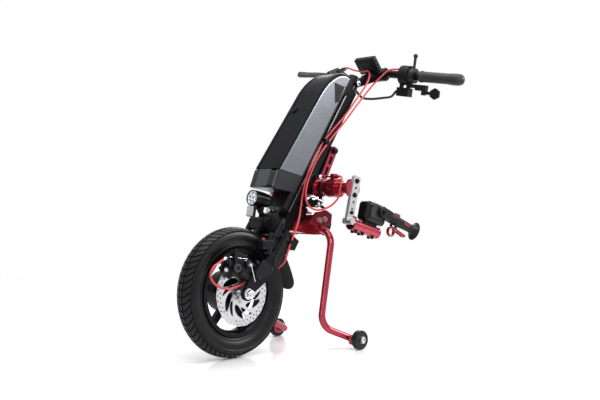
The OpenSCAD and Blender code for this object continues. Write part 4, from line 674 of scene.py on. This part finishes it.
def battery_cap_shape():
    cap = slab([(-50, 294), (-50, 343.4), (-132.4, 309.4), (-122, 260)], -PANEL_OUT, PANEL_OUT)
    front = edges_where(cap, lambda p: abs(p.x) > FACE_X and p.y < -110)
    rounded(cap, front, CORNER_R, 6)
    return rounded(cap, edges_where(cap, lambda p: p.z < 295), 4, 4)


def vent_shape():
    insert = slab([(-92, 618), (-54, 634), (-50.8, 586), (-59, 574)], 43.6, 44.5, .3, 2)
    ribs = [moved(block((44.2, 1.8 * k - 14, -1.1), (45.2, 14 - 1.8 * k, 1.1), .5, 2),
                  shifted((0, 1.8 * k - 69, 617 - 6 * k)) @ tilted(23)) for k in range(6)]
    return joined(insert, *ribs)


def key_shape():
    barrel = turned([(10, -8), (10, .4), (9.2, 1.2), (7, 1.2), (6.4, .5), (0, .5)])
    return joined(barrel, block((-.8, -4, .2), (.8, 4, 1), .2, 2))


piece("battery_core", battery_core_shape(), COLUMN, GLOSS_BLACK, "battery", "gloss_black",
      "battery_case")
pair("battery_panel", battery_panel_shape, COLUMN, (PANEL_GREY, GLOSS_BLACK), "battery",
     "gloss_grey", "battery_side_panels", crease=25)
pair("battery_vent", vent_shape, COLUMN, MATT_BLACK, "battery", PLASTIC)
piece("battery_cap_shell", battery_cap_shape(), COLUMN, CAP_BLACK, "battery", PLASTIC,
      "battery_cap", crease=25)
piece("battery_window", slab(WINDOW_LINE, -18, 25, .3, 2), COLUMN, WINDOW_GREY, "battery",
      "gloss_black")
piece("key_barrel", key_shape(), KEY, SATIN_BLACK, "key", "chrome", "key_lock")


# Column trim strips, bare metal that also serves as a painted edge highlight, and cable clips
# Thin steel strips along the column's front edges: bare metal edges, and a painted highlight along
# them.
pair("column_edge_highlight_trim", lambda: block((21.2, -20.6, 256), (22.2, -16.4, 634), .4, 2), COLUMN,
     EDGE_HIGHLIGHT_STEEL, "frame", "aluminium")
piece("cable_clip", screwed_block(
    (20, -26, 472), (38.5, -8, 484), 2.5, 3, 2, (38.5, -17, 478), OUT),
      COLUMN, MATT_BLACK, "frame", PLASTIC)
piece("fork_clip", screwed_block(
    (57.5, -9, 170), (68, 4, 181), 2.5, 2.6, 2, (68, -2.5, 175.5), OUT),
      COLUMN, MATT_BLACK, "steering", PLASTIC)


# Lamp and reflector
FIN_COUNT, FIN_PITCH, FIN_DEEP = 6, 5, 1.3
SEAT_COUNT, SEAT_RING_R, SEAT_X = 6, 12, 3.6
LENS_LINE = [(0, .4), (9, .6), (15, 1), (18.6, 1.6), (18.6, 2.6), (15, 2), (9, 1.6), (0, 1.4)]


def lamp_body_shape():
    profile = [(18.6, 5), (18.8, 0), (19.6, 0), (20, .6), (20, 6), (19, 6.6), (19, 8), (20, 8.6)]
    for k in range(FIN_COUNT):
        y = 13 + FIN_PITCH * k
        r = 20 - .06 * k * k
        profile += [(r, y), (r, y + 3), (r - FIN_DEEP, y + 3.3), (r - FIN_DEEP, y + 4.7)]
    profile += [(17.6, 45), (17, 52), (15, 58), (11.6, 62), (8, 64), (6.4, 66), (0, 66)]
    ears = [moved(slab(oblong(-6, -26, 6, -15), x, x + 3.4, 1.2, 2),
                  tilted(90) @ shifted((0, 33, 0))) for x in (5.4, -8.8)]
    return joined(turned(profile, 48), *ears)


def lamp_seats(profile, steps):
    def seat(at, way):
        return turned_at(at, way, profile, steps)
    return joined(ring_of(seat, SEAT_COUNT, SEAT_RING_R, SEAT_X, UP), seat((0, 0, SEAT_X), UP))


def reflector_face_shape():
    face = bmesh.new()
    bmesh.ops.create_grid(face, x_segments=8, y_segments=8, size=12)
    bmesh.ops.poke(face, faces=face.faces[:], offset=1)
    return moved(face, shifted((0, -.4, -33.6)) @ tilted(90))


piece("lamp_body", lamp_body_shape(), LAMP_AXIS, SATIN_BLACK, "lamp", PLASTIC, "headlight",
      crease=30)
piece("lamp_bowl", lamp_seats([(5.6, -.6), (5.2, 0), (4, 1), (2.6, 1.3)], 18), LAMP_AXIS, CHROME,
      "lamp", "chrome", crease=10)
piece("lamp_plate", turned([(18.7, 4.2), (13, 5), (0, 5), (0, 7.6), (18.7, 7.6)], 36, True),
      LAMP_AXIS, CHROME, "lamp", "chrome")
piece("lamp_cells", lamp_seats([(2.7, 1.4), (2.2, .2), (0, 0), (0, 1.4)], 12), LAMP_AXIS,
      SATIN_BLACK, "lamp", PLASTIC)
piece("lamp_lens", turned(LENS_LINE), LAMP_AXIS, LENS_GLASS, "lamp", "clear_glass",
      "headlight_lens")
piece("reflector_holder", joined(
    block((-13.5, .2, -47.1), (13.5, 9, -20.1), 2), block((-5, 3, -21), (5, 9, -15), 1)),
      LAMP, SATIN_BLACK, "lamp", PLASTIC)
piece("reflector_face", reflector_face_shape(), LAMP, REFLECTOR, "lamp", "clear_plastic",
      "front_reflector", crease=10)


# Lamp bracket, fork blades, crown and plug box
def lamp_bracket_shape():
    body = slab([(-83, 186), (-83, 197), (-72, 203), (-30, 201), (-28, 196), (-23, 194),
                 (-23, 176), (-44, 170), (-66, 175)], -30, 30, 3)
    ribs = [slab(oblong(a, 179, a + 4.4, 199), x, x + 2.6, .9, 2)
            for a in (-77, -67, -57, -47, -37) for x in (29.2, -31.8)]
    caps = screw_set(4.4, 3.4, UP, [(x, t, 202) for x in (-20, 20) for t in (-64, -36)])
    return joined(body, *ribs, caps)


def connector_shape():
    box = slab([(-74, 203), (-74, 213), (-54, 229), (-44, 229), (-40, 203)], -14, 26, 3)
    ribs = [slab(oblong(a, 205, a + 3, 214), 25.4, 28, .8, 2) for a in (-70, -63, -56, -49)]
    nut = [(0, 0), (5, 0), (5, 4), (4, 5), (4, 10), (2.4, 13), (0, 13)]
    nuts = [turned_at((x, -50, 228), (0, .2, 1), nut, 20) for x in (-6, 6, 18)]
    return joined(box, *ribs, *nuts)


def blade_cover_shape():
    upper = slab([(-23, 190), (1, 190), (-5, 100), (-17, 96), (-26, 112)], 57.6, 60, 1.1)
    spine = slab([(-8, 186), (-3, 186), (-9, 106), (-13, 106)], 59.4, 61, .7, 2)
    return joined(upper, spine)


def blade_foot_shape():
    foot = slab([(-57, 90), (-20, 94), (-9, 90), (-13, 76), (-34, 52), (-50, 44), (-58, 54)],
                57.6, 60.4, 1.2)
    web = slab([(-50, 84), (-24, 86), (-20, 78), (-36, 60), (-48, 56)], 60, 61.2, .5, 2)
    return joined(foot, web)


def blade_screws_shape():
    return screw_set(3.8, 1.6, OUT, (
        (60.4, -52, 88), (60.4, -17, 88), (60.4, -42, 49), (60, -14, 176), (60, -18, 112)))


def crown_cover_shape():
    cover = block((-59.2, -24.6, 167.4), (59.2, 24.6, 196.6), 4.5, 4)
    caps = screw_set(4.5, 3, UP, [(x, t, 196.6) for x in (-48, 48) for t in (-13, 13)])
    return joined(cover, caps)


def strut_shape():
    sleeve = turned([
        (0, 112), (8, 112), (9, 113), (9, 130), (7, 131), (7, 134), (9, 135), (9, 150),
        (6.4, 151), (6.4, 158), (9, 159), (9, 198), (7.4, 201), (6.4, 208), (5.4, 214),
        (0, 214)], 28)
    return moved(sleeve, shifted((54.5, -50, 0)))


def plug_box_shape():
    box = block((44, -181, 263), (66, -143, 286), 3)
    collar = turned_at((55, -150, 285), (0, .35, .94), [
        (0, 0), (5.4, 0), (5.4, 5), (4.4, 6), (4.4, 9), (5, 10), (5, 14), (3, 18), (0, 18)], 24)
    ribs = [block((65.6, -176 + 9 * k, 266), (66.8, -172 + 9 * k, 283), .5, 2) for k in range(4)]
    return joined(box, collar, *ribs)


piece("lamp_bracket", lamp_bracket_shape(), COLUMN, SATIN_BLACK, "steering", METAL)
piece("lamp_connector", connector_shape(), COLUMN, MATT_BLACK, "steering", PLASTIC)
pair("blade_cover", blade_cover_shape, COLUMN, BLADE_GLOSS, "steering", METAL)
pair("blade_foot", blade_foot_shape, COLUMN, CALIPER_BLACK, "steering", METAL)
pair("blade_screws", blade_screws_shape, COLUMN, DARK_ALLOY, "steering", "dark_alloy")
piece("crown_cover", crown_cover_shape(), COLUMN, SATIN_BLACK, "steering", METAL)
pair("fork_strut", strut_shape, COLUMN, SATIN_BLACK, "steering", METAL)
piece("plug_box", plug_box_shape(), FLOOR, MATT_BLACK, "steering", PLASTIC)
piece("plug_cap", socket_screw(4.4, 6.4, (59.6, -175, 285.6), UP), FLOOR, RED_METAL, "steering",
      "red_metal")


# Brake caliper
def caliper_shape():
    house = block((23.8, 57.6, -26.4), (32, 88.4, 26.4), 4)
    cheek = block((36.2, 57.6, -26.4), (50.2, 88.4, 26.4), 5)
    bridge = block((25, 83, -20), (49, 89.6, 20), 3)
    ribs = [block((49.6, 61, z - 1.5), (51.4, 85, z + 1.5), .6, 2) for z in (-21, -16, 16, 21)]
    return joined(house, cheek, bridge, *ribs)


def caliper_knob_shape():
    return turned_at((55.8, 72.9, 0), OUT, [
        (0, 4.6), (6, 4.6), (6.6, 5.4), (8.8, 5.4), (10.4, 4), (10.4, 0), (0, 0)], 36)


def caliper_links_shape():
    top = slab([(-284, 252), (-276, 258), (-268, 252), (-272, 240), (-282, 244)], 41, 50, 2)
    side = slab([(-294, 218), (-288, 228), (-272, 226), (-270, 214), (-286, 211)], 36.4, 50.4, 2)
    low = slab([(-246, 206), (-238, 212), (-204, 198), (-206, 188), (-216, 188)], 49.6, 54.6, 1.6)
    ear = slab([(-228, 236), (-214, 240), (-206, 228), (-212, 218), (-226, 222)], 49.6, 58.4, 2)
    bar = slab([(-282, 246), (-268, 259), (-238, 259), (-213, 250), (-217, 238), (-250, 243),
                (-270, 240)], 38, 46, 2)
    return joined(top, side, low, ear, bar)


def caliper_bolts_shape():
    places = ((50.6, -286, 220), (58.4, -216, 228), (50, -196, 206))
    return joined(*(hex_bolt(4.2, 4, at, OUT) for at in places))


def caliper_wire_shape():
    inner = turned_at((61, -215, 226), (0, .3, -.95), [(0, 0), (.9, 0), (.9, 40), (0, 40)], 12)
    upper = turned_at((51, -282, 251), (0, .99, -.14), [(0, 0), (.6, 0), (.6, 66), (0, 66)], 12)
    barrel = turned_at((53, -288, 248.6), (0, -.9, -.44), [
        (0, 0), (3.4, 0), (3.8, .6), (3.8, 5), (3, 6), (3, 11), (0, 11)], 20)
    return joined(inner, upper, barrel)


piece("caliper_house", caliper_shape(), CALIPER, CALIPER_BLACK, "steering", "dark_alloy")
piece("caliper_knob", caliper_knob_shape(), CALIPER, KNOB_BLUE_BLACK, "steering", "dark_alloy")
piece("caliper_bolts", caliper_bolts_shape(), FLOOR, STEEL, "steering", "steel")
piece("caliper_links", caliper_links_shape(), FLOOR, CALIPER_BLACK, "steering", "dark_alloy")
piece("caliper_wire", caliper_wire_shape(), FLOOR, CHROME, "steering", "chrome")


# Cross tube, latch and link
COLLARS = ((-64, 24), (-40, 21.4), (40, 21.4), (64, 24))
LATCH_SLOPE, LINK_SHADE_HALF = -.5, 20.4
LATCH_BOLTS = ((33, 20, 376), (33, 44, 366), (38, 40, 371), (34, 58, 382))
LINK_SHADE_LINE = [(44, 399), (59, 391), (123, 507), (108, 515)]


def cross_ring(x, radius):
    return turned_at((x, 60.3, 411.4), OUT, [
        (radius - 2, -3), (radius, -2.4), (radius + .6, 0), (radius, 2.4), (radius - 2, 3)], 44)


def latch_block_shape():
    box = slab([(10, 374), (26, 388), (50, 386), (58, 372), (48, 360), (22, 362)], 22, 33, 2.5)
    lever = moved(block((33, -5, -4), (38, 36, 4), 2),
                  shifted((0, 36, 374)) @ Matrix.Rotation(LATCH_SLOPE, 4, "X"))
    hook = slab([(44, 384), (58, 392), (66, 386), (62, 370), (54, 364), (52, 376)], 26, 34, 2, 2)
    return joined(box, lever, hook)


def latch_ball_shape():
    return turned_at((31, 4, 372), (.1, .9, .3), [
        (0, -10), (5, -9), (8.6, -6), (10.4, 0), (8.6, 6), (6, 8), (6, 12), (8, 13), (8, 18),
        (6.6, 19.4), (0, 19.4)], 32)


def latch_rods_shape():
    rod = [(0, 0), (2.6, 0), (3.2, .6), (3.2, 21), (2.6, 21.6), (0, 21.6)]
    places = ((20, 380, (.5, .8, .3)), (42, 384, (.6, .7, -.4)), (34, 364, (.4, .9, .2)))
    return joined(*(turned_at((30, y, z), way, rod, 20) for y, z, way in places))


def link_knob_shape():
    knob = turned_at((25, 26, 482), OUT, [
        (0, 9), (6, 9), (8, 7.6), (8.6, 5), (8.6, 1), (7, 0), (0, 0)], 28)
    hoop = [(8.6 + .7 * cos(k * pi / 5), .7 * sin(k * pi / 5)) for k in range(10)]
    return joined(knob, turned_at((28, 26, 482), OUT, hoop, 28, True))


piece("cross_rings", joined(*(cross_ring(x, radius) for x, radius in COLLARS)), FLOOR,
      SATIN_BLACK, "frame", METAL)
pair("latch_block", latch_block_shape, FLOOR, SATIN_BLACK, "frame", METAL)
pair("latch_ball", latch_ball_shape, FLOOR, SATIN_BLACK, "frame", METAL)
piece("bracket_mount", joined(
    block((-24, 20, 258), (24, 37, 300), 3), screw_set(4, 3, OUT, ((24, 28, 268), (24, 28, 290)))),
      COLUMN, SATIN_BLACK, "frame", METAL)
pair("latch_rods", latch_rods_shape, FLOOR, CHROME, "frame", "chrome")
piece("latch_bolts", screw_set(4, 3, OUT, LATCH_BOLTS), FLOOR, CHROME, "frame", "chrome")
# A black insert between the twin link plates darkens their slots: painted shade between the plates.
piece("link_shade_insert", slab(LINK_SHADE_LINE, -LINK_SHADE_HALF, LINK_SHADE_HALF, 2, 2), FLOOR, MATT_BLACK, "frame",
      PLASTIC)
pair("link_knob", link_knob_shape, COLUMN, SATIN_BLACK, "frame", METAL)


# Coupling: sleeves and hanger screws
SLEEVE_Z, LIP_GAP = -91, 64


def split_lip(y, way):
    lip = bmesh.new()
    start = Matrix.Rotation(radians(LIP_GAP / 2), 3, "Y")
    edge = ((12.6, -1), (15.4, -1), (15.9, .6), (15.4, 4), (12.6, 4))
    points = [start @ Vector((0, y + way * along, r)) for r, along in edge]
    section = lip.faces.new([lip.verts.new(point) for point in points])
    bmesh.ops.spin(lip, geom=[section], axis=AFT, angle=radians(360 - LIP_GAP), steps=36)
    return moved(tidied(lip), shifted((0, 0, SLEEVE_Z)))


def sleeve_bore_shape():
    return turned_at((0, 9, SLEEVE_Z), FORE, [(0, 0), (11, 0), (12.4, .6), (12.4, 2), (0, 2)], 36)


def sleeve_trim_shape():
    return joined(split_lip(9.6, 1), split_lip(112.6, -1))


def sleeve_screws_shape():
    return screw_set(4.4, 7, DOWN, [(x, y, -104) for x in (-6, 6) for y in (26, 52, 92)])


def hanger_caps_shape():
    return joined(hex_bolt(6, 4.4, (4.5, 0, 18.3), OUT), hex_bolt(6, 4.4, (4.5, 0, -18.3), OUT),
                  socket_screw(4.6, 3, (4.5, 0, -64), OUT))


pair("sleeve_bore", sleeve_bore_shape, ARM_LEFT, SATIN_BLACK, "coupling", METAL)
pair("sleeve_trim", sleeve_trim_shape, ARM_LEFT, RED_METAL, "coupling", "red_metal")
pair("sleeve_screws", sleeve_screws_shape, ARM_LEFT, SATIN_BLACK, "coupling", METAL)
pair("hanger_caps", hanger_caps_shape, ARM_LEFT, SATIN_BLACK, "coupling", METAL, "hanger_screws")


# Claws
MOUTH_Y, MOUTH_DEEP, MOUTH_R = 115.8, 50, 8.1
RIM_Y, RIM_TILT, HANDLE_X = 142, -8, 16.4


def claw_shape():
    body = block((-20, 43.8, -73), (20, MOUTH_Y, -19))
    long_edges = [e for e in body.edges if abs(e.verts[0].co.y - e.verts[1].co.y) > 50]
    rounded(body, long_edges + edges_where(body, lambda p: p.y < 44), 12, 8)
    rounded(body, edges_where(body, lambda p: p.y > 115), 1.2, 2)
    mouth = max((f for f in body.faces if f.normal.y > .99), key=lambda f: f.calc_area())
    rim = mouth.edges[:]
    bmesh.ops.delete(body, geom=[mouth], context="FACES_ONLY")
    centre = aimed((-7.9, MOUTH_Y, -46), AFT)
    hole = bmesh.ops.create_circle(body, segments=32, radius=MOUTH_R, matrix=centre)["verts"]
    loop = list(dict.fromkeys(edge for vert in hole for edge in vert.link_edges))
    bmesh.ops.bridge_loops(body, edges=rim + loop)
    deep = bmesh.ops.extrude_edge_only(body, edges=loop)["geom"]
    bmesh.ops.translate(body, verts=only(bmesh.types.BMVert, deep), vec=(0, -MOUTH_DEEP, 0))
    bmesh.ops.contextual_create(body, geom=only(bmesh.types.BMEdge, deep))
    neck = block((-5, 55, SLEEVE_Z), (5, 104, -70), 1)
    slide = turned_at((0, 20, SLEEVE_Z), AFT, [
        (0, 0), (9.6, 0), (10.4, .8), (10.4, 94), (0, 94)], 36)
    return joined(body, neck, slide)


def claw_ribs_shape():
    ribs = [block((-9, 57 + 6 * k, -19.6), (9, 60 + 6 * k, -17.9), .6, 2) for k in range(7)]
    inlay = slab([(62, -60), (100, -60), (105, -55), (105, -38), (98, -31), (64, -31), (57, -38),
                  (57, -55)], 19.6, 20.6, .4, 2)
    return joined(*ribs, inlay)


def handle_shape():
    grip = turned([
        (0, 30), (11, 30), (13.4, 34), (13.9, 60), (12.6, 100), (11.6, 130), (12.6, 139),
        (16, 145), (21, 149), (25, 150.6), (26, 152.4), (25, 154), (14, 153), (0, 152.6)])
    bmesh.ops.scale(grip, vec=(.93, 1, 1), verts=grip.verts)
    bmesh.ops.scale(grip, vec=(.72, 1, 1), verts=[v for v in grip.verts if v.co.z > 148])
    moved(grip, shifted((HANDLE_X, 0, -1)) @ tilted(-90))
    tilt = shifted((0, RIM_Y, 0)) @ tilted(RIM_TILT) @ shifted((0, -RIM_Y, 0))
    bmesh.ops.transform(grip, matrix=tilt, verts=[v for v in grip.verts if v.co.y > RIM_Y + 1])
    boss = turned_at((20.4, 0, 0), OUT, [
        (0, 0), (13.6, 0), (15, 1.2), (15, 7.4), (13, 9), (8, 9.4), (7, 8.4), (0, 8.4)])
    arm = slab([(-6, -13), (4, 14.6), (40, 13), (40, -13), (10, -14.6)], 20.6, 28.6, 2.6)
    lugs = [slab(oblong(58.4, -23, 67.6, -12), x, x + 4, 1.4, 2) for x in (6, 22.8)]
    return joined(grip, boss, arm, *lugs)


def handle_inlay_shape():
    return slab([(92, -4), (112, -3.4), (115, 0), (112, 3.4), (92, 4), (89, 0)], 29, 29.9, .4, 2)


def finger_ring_shape():
    return turned_at((HANDLE_X, 57, -34), OUT, [
        (10.4, -4), (13.4, -4), (14, -2.4), (14, 2.4), (13.4, 4), (10.4, 4)], 36, True)


def trigger_shape():
    blade = slab([(60, -19.4), (115, -25.6), (115.6, -30), (112, -34), (90, -29), (66, -26),
                  (59, -24)], 10.4, 22.4, 2.4)
    grooves = [block((11.6, 80 + 6 * k, -30.6 - .8 * k), (21.2, 83 + 6 * k, -27 - .8 * k), .6, 2)
               for k in range(5)]
    return joined(blade, *grooves)


def button_shape():
    return joined(block((9.9, 57, 7), (22.9, 76, 17.4), 2.2), *(
        block((11.4, 60 + 4.4 * k, 17), (21.4, 62 + 4.4 * k, 18.4), .5, 2) for k in range(4)))


pair("claw_house", claw_shape, ARM_LEFT, CLAW_BLACK, "claw_{}", PLASTIC, "claw_{}")
pair("claw_ribs", claw_ribs_shape, ARM_LEFT, RUBBER, "claw_{}", "rubber")
pair("handle_grip", handle_shape, LEVER_LEFT, MATT_BLACK, "claw_handle_{}", PLASTIC,
     "claw_handle_{}")
pair("finger_ring", finger_ring_shape, LEVER_LEFT, RED_METAL, "trigger_{}", "red_metal")
pair("handle_inlay", handle_inlay_shape, LEVER_LEFT, RED_METAL, "claw_handle_{}", "red_metal")
pair("handle_bolt", lambda: socket_screw(6.4, 3, (28.8, 0, 0), OUT), LEVER_LEFT, SATIN_BLACK,
     "claw_handle_{}", METAL)
pair("trigger_blade", trigger_shape, LEVER_LEFT, RED_METAL, "trigger_{}", "red_metal", "trigger_{}")
pair("button_cap", button_shape, LEVER_LEFT, RED_METAL, "button_{}", "red_metal", "button_{}")


# Cockpit: grips, display, control pod and brake lever
RIB_COUNT, RIB_PITCH = 10, 7.4
BRACKET_SIDES = (20.6, -25.6)


def grip_shape():
    profile = [(0, 103.6), (15.8, 103.6), (16.4, 104.6), (16.4, 110), (15.4, 111.6)]
    for k in range(RIB_COUNT):
        z = 113 + RIB_PITCH * k
        profile += [(14.6, z), (15.1, z + 1.4), (15.1, z + 4.4), (14.6, z + 5.8)]
    profile += [(14.8, 188), (15.6, 196), (16.4, 206), (16.3, 220), (15.2, 228), (12, 234),
                (6.6, 237.2), (0, 238)]
    return turned(profile, 36)


def display_shape():
    shell = block((-35.6, -24.6, -8), (35.6, 24.6, 8), 3.4, 4)
    bezel = block((-30, -19, 7.6), (30, 19, 8.8), .5, 2)
    back = block((-24, -16, -9.4), (24, 17, -7.6), .8, 2)
    keys = [block((35, y - 4, -3), (37, y + 4, 3), .9, 2) for y in (-12, 0, 12)]
    return joined(shell, bezel, back, *keys)


def display_bracket_shape():
    arms = [slab([(338, 749), (324, 737), (304, 733), (288, 742), (290, 752), (304, 748),
                  (326, 752)], x, x + 5, 1.4, 2) for x in BRACKET_SIDES]
    ring = [(11.3, 0), (15.4, 0), (16, .6), (16, 4.4), (15.4, 5), (11.3, 5)]
    rings = [turned_at((x, 337.4, 735), OUT, ring, 32, True) for x in BRACKET_SIDES]
    tongue = slab([(288, 742), (304, 732), (310, 738), (294, 752)], -20.6, 20.6, 2, 2)
    return joined(*arms, *rings, tongue)


def pod_shape():
    drum = turned([
        (13, 43.6), (26.4, 43.6), (27.5, 45), (27.5, 50), (26.6, 51), (26.6, 53), (27.5, 54),
        (27.5, 60), (26.6, 61), (26.6, 63), (27.5, 64), (27.5, 70), (26.4, 71.4), (13, 71.4)],
        closed=True)
    collar = turned([(11.6, 34), (14.6, 34), (15.4, 35), (15.4, 43.8), (11.6, 43.8)], 32, True)
    return joined(drum, collar)


def lever_blade_shape():
    blade = slab([
        (-50.5, 130), (-58, 122.6), (-65.5, 130), (-75, 154), (-90, 188), (-104.6, 214),
        (-107, 221), (-104, 226), (-96, 226.6), (-91, 219), (-82, 198), (-66, 160)], -3.9, 3.9)
    bmesh.ops.scale(blade, vec=(1.7, 1, 1), verts=[v for v in blade.verts if v.co.z > 150])
    return rounded(blade, blade.edges[:], 1.8)


def stem_caps_shape():
    cap = [(3.2, 1.4), (3.6, 2.6), (6.4, 2.6), (7.4, 1.8), (7.4, 0), (3.2, 0)]
    return joined(*(turned_at((x, 215, 698.6), (x, 0, 0), cap, 32, True) for x in (24, -24)))


piece("lever_blade", lever_blade_shape(), BRAKE_LEVER, LEVER_GREY, "brake_lever", "dark_alloy",
      "brake_lever")
pair("grip_sleeve", grip_shape, BAR_LEFT, RUBBER, "steering", "rubber", "grips")
piece("display_shell", display_shape(), DISPLAY, MATT_BLACK, "steering", PLASTIC, "display_housing")
piece("display_bracket", display_bracket_shape(), FLOOR, SATIN_BLACK, "steering", PLASTIC)
piece("display_studs", screw_set(5, 3, DOWN, ((-13, 7, -9.4), (13, 7, -9.4))), DISPLAY,
      LEVER_GREY, "steering", "dark_alloy")
piece("display_screen", block((-27.5, -16.5, 8.6), (27.5, 16.5, 9.1), .2, 2), DISPLAY,
      WINDOW_GREY, "steering", "gloss_black")
piece("pod_drum", pod_shape(), BAR_LEFT, MATT_BLACK, "steering", PLASTIC)
piece("stem_caps", stem_caps_shape(), FLOOR, STEEL, "steering", "steel")


# Rollers and their yokes
ROLLER_AT = (142.4, 74.4, 25)


def roller_shape():
    return turned_at(ROLLER_AT, OUT, [
        (9, .4), (21, .4), (23.6, 1.2), (24.9, 3.4), (24.9, 14.6), (23.6, 16.8), (21, 17.6),
        (18.6, 17.6), (17.8, 16.6), (10, 16.6), (9, 17.4)], 44, True)


def roller_bolt_shape():
    return turned_at(ROLLER_AT, OUT, [
        (0, 21.6), (3.6, 21.6), (3.6, 23), (7, 23), (8.2, 22), (8.2, 16.4), (9.4, 16.4), (9.4, 2),
        (0, 2)], 36)


def yoke_shape():
    cheek = slab([(52, 16), (58, 12), (84, 13), (90, 20), (90, 30), (84, 37), (60, 38), (52, 34)],
                 132, 142, 2.4)
    ribs = [block((130.6, 57 + 7 * k, 17), (133, 60 + 7 * k, 34), .8, 2) for k in range(3)]
    return joined(cheek, *ribs)


pair("roller_tyre", roller_shape, FLOOR, ROLLER_BLACK, "roller_{}", "rubber", "roller_{}")
pair("roller_bolt", roller_bolt_shape, FLOOR, STEEL, "stand", "steel")
pair("roller_yoke", yoke_shape, FLOOR, RED_METAL, "stand", "red_metal")
pair("yoke_bolt", lambda: hex_bolt(5, 3, (132, 82, 25), INWARD), FLOOR, STEEL, "stand", "steel")


# Studio floor, world and lamps
FLOOR_R, FADE_FROM, FADE_TO = 9, .7, 3


def studio_floor():
    mesh = bpy.data.meshes.new("studio_floor")
    shape = bmesh.new()
    bmesh.ops.create_circle(shape, cap_ends=True, segments=96, radius=FLOOR_R)
    shape.to_mesh(mesh)
    shape.free()
    finish, tree, shader = new_finish("studio_floor")
    pale = {"Base Color": (.93, .93, .94, 1), "Roughness": .13, "Specular IOR Level": .4}
    set_inputs(shader, **pale)
    place = add_node(tree, "TexCoord")
    away = tree.nodes.new("ShaderNodeVectorMath")
    away.operation = "LENGTH"
    link(place.outputs["Object"], away.inputs[0])
    clear = add_node(tree, "BsdfTransparent")
    mix = add_node(tree, "MixShader")
    fade = spread_between(tree, away.outputs["Value"], 0, 1, FADE_FROM, FADE_TO)
    fade.node.interpolation_type = "SMOOTHERSTEP"
    link(fade, mix.inputs["Fac"])
    link(shader.outputs["BSDF"], mix.inputs[1])
    link(clear.outputs["BSDF"], mix.inputs[2])
    link(mix.outputs["Shader"], tree.nodes["Material Output"].inputs["Surface"])
    mesh.materials.append(finish)
    placed("studio_floor", mesh)


def studio_world():
    world = bpy.data.worlds.new("studio_world")
    scene.world = world
    world.use_nodes = True
    tree = world.node_tree
    seen = set_inputs(tree.nodes["Background"], Color=(1, 1, 1, 1), Strength=1)
    fill = add_node(tree, "Background", Color=(.95, .97, 1, 1), Strength=.42)
    path = add_node(tree, "LightPath")
    rays = path.outputs["Is Camera Ray"]
    for kind in ("Is Glossy Ray", "Is Transmission Ray"):
        larger = tree.nodes.new("ShaderNodeMath")
        larger.operation = "MAXIMUM"
        link(rays, larger.inputs[0])
        link(path.outputs[kind], larger.inputs[1])
        rays = larger.outputs[0]
    mix = add_node(tree, "MixShader")
    link(rays, mix.inputs["Fac"])
    link(fill.outputs["Background"], mix.inputs[1])
    link(seen.outputs["Background"], mix.inputs[2])
    link(mix.outputs["Shader"], tree.nodes["World Output"].inputs["Surface"])


def soft_lamp(name, at, to, size, power):
    data = bpy.data.lights.new(name, "AREA")
    data.shape = "RECTANGLE"
    data.size, data.size_y = size
    data.energy = power
    face_towards(placed(name, data), at, to)


studio_floor()
studio_world()
soft_lamp("top_box", (.2, -.1, 2.6), (0, 0, .3), (2.4, 2.4), 62)
soft_lamp("key_box", (2.2, -1.2, 1.9), (0, 0, .35), (.9, .9), 30)
soft_lamp("back_box", (-1.4, 1.9, 1.5), (0, 0, .4), (1, 1.4), 18)
soft_lamp("strip_box", (1.2, -2.6, .9), (0, 0, .3), (.2, 1.4), 10)
soft_lamp("panel_box", (1.75, 1.75, 1.5), (0, .05, .6), (1.4, .5), 60)

scene.view_settings.view_transform = "Standard"
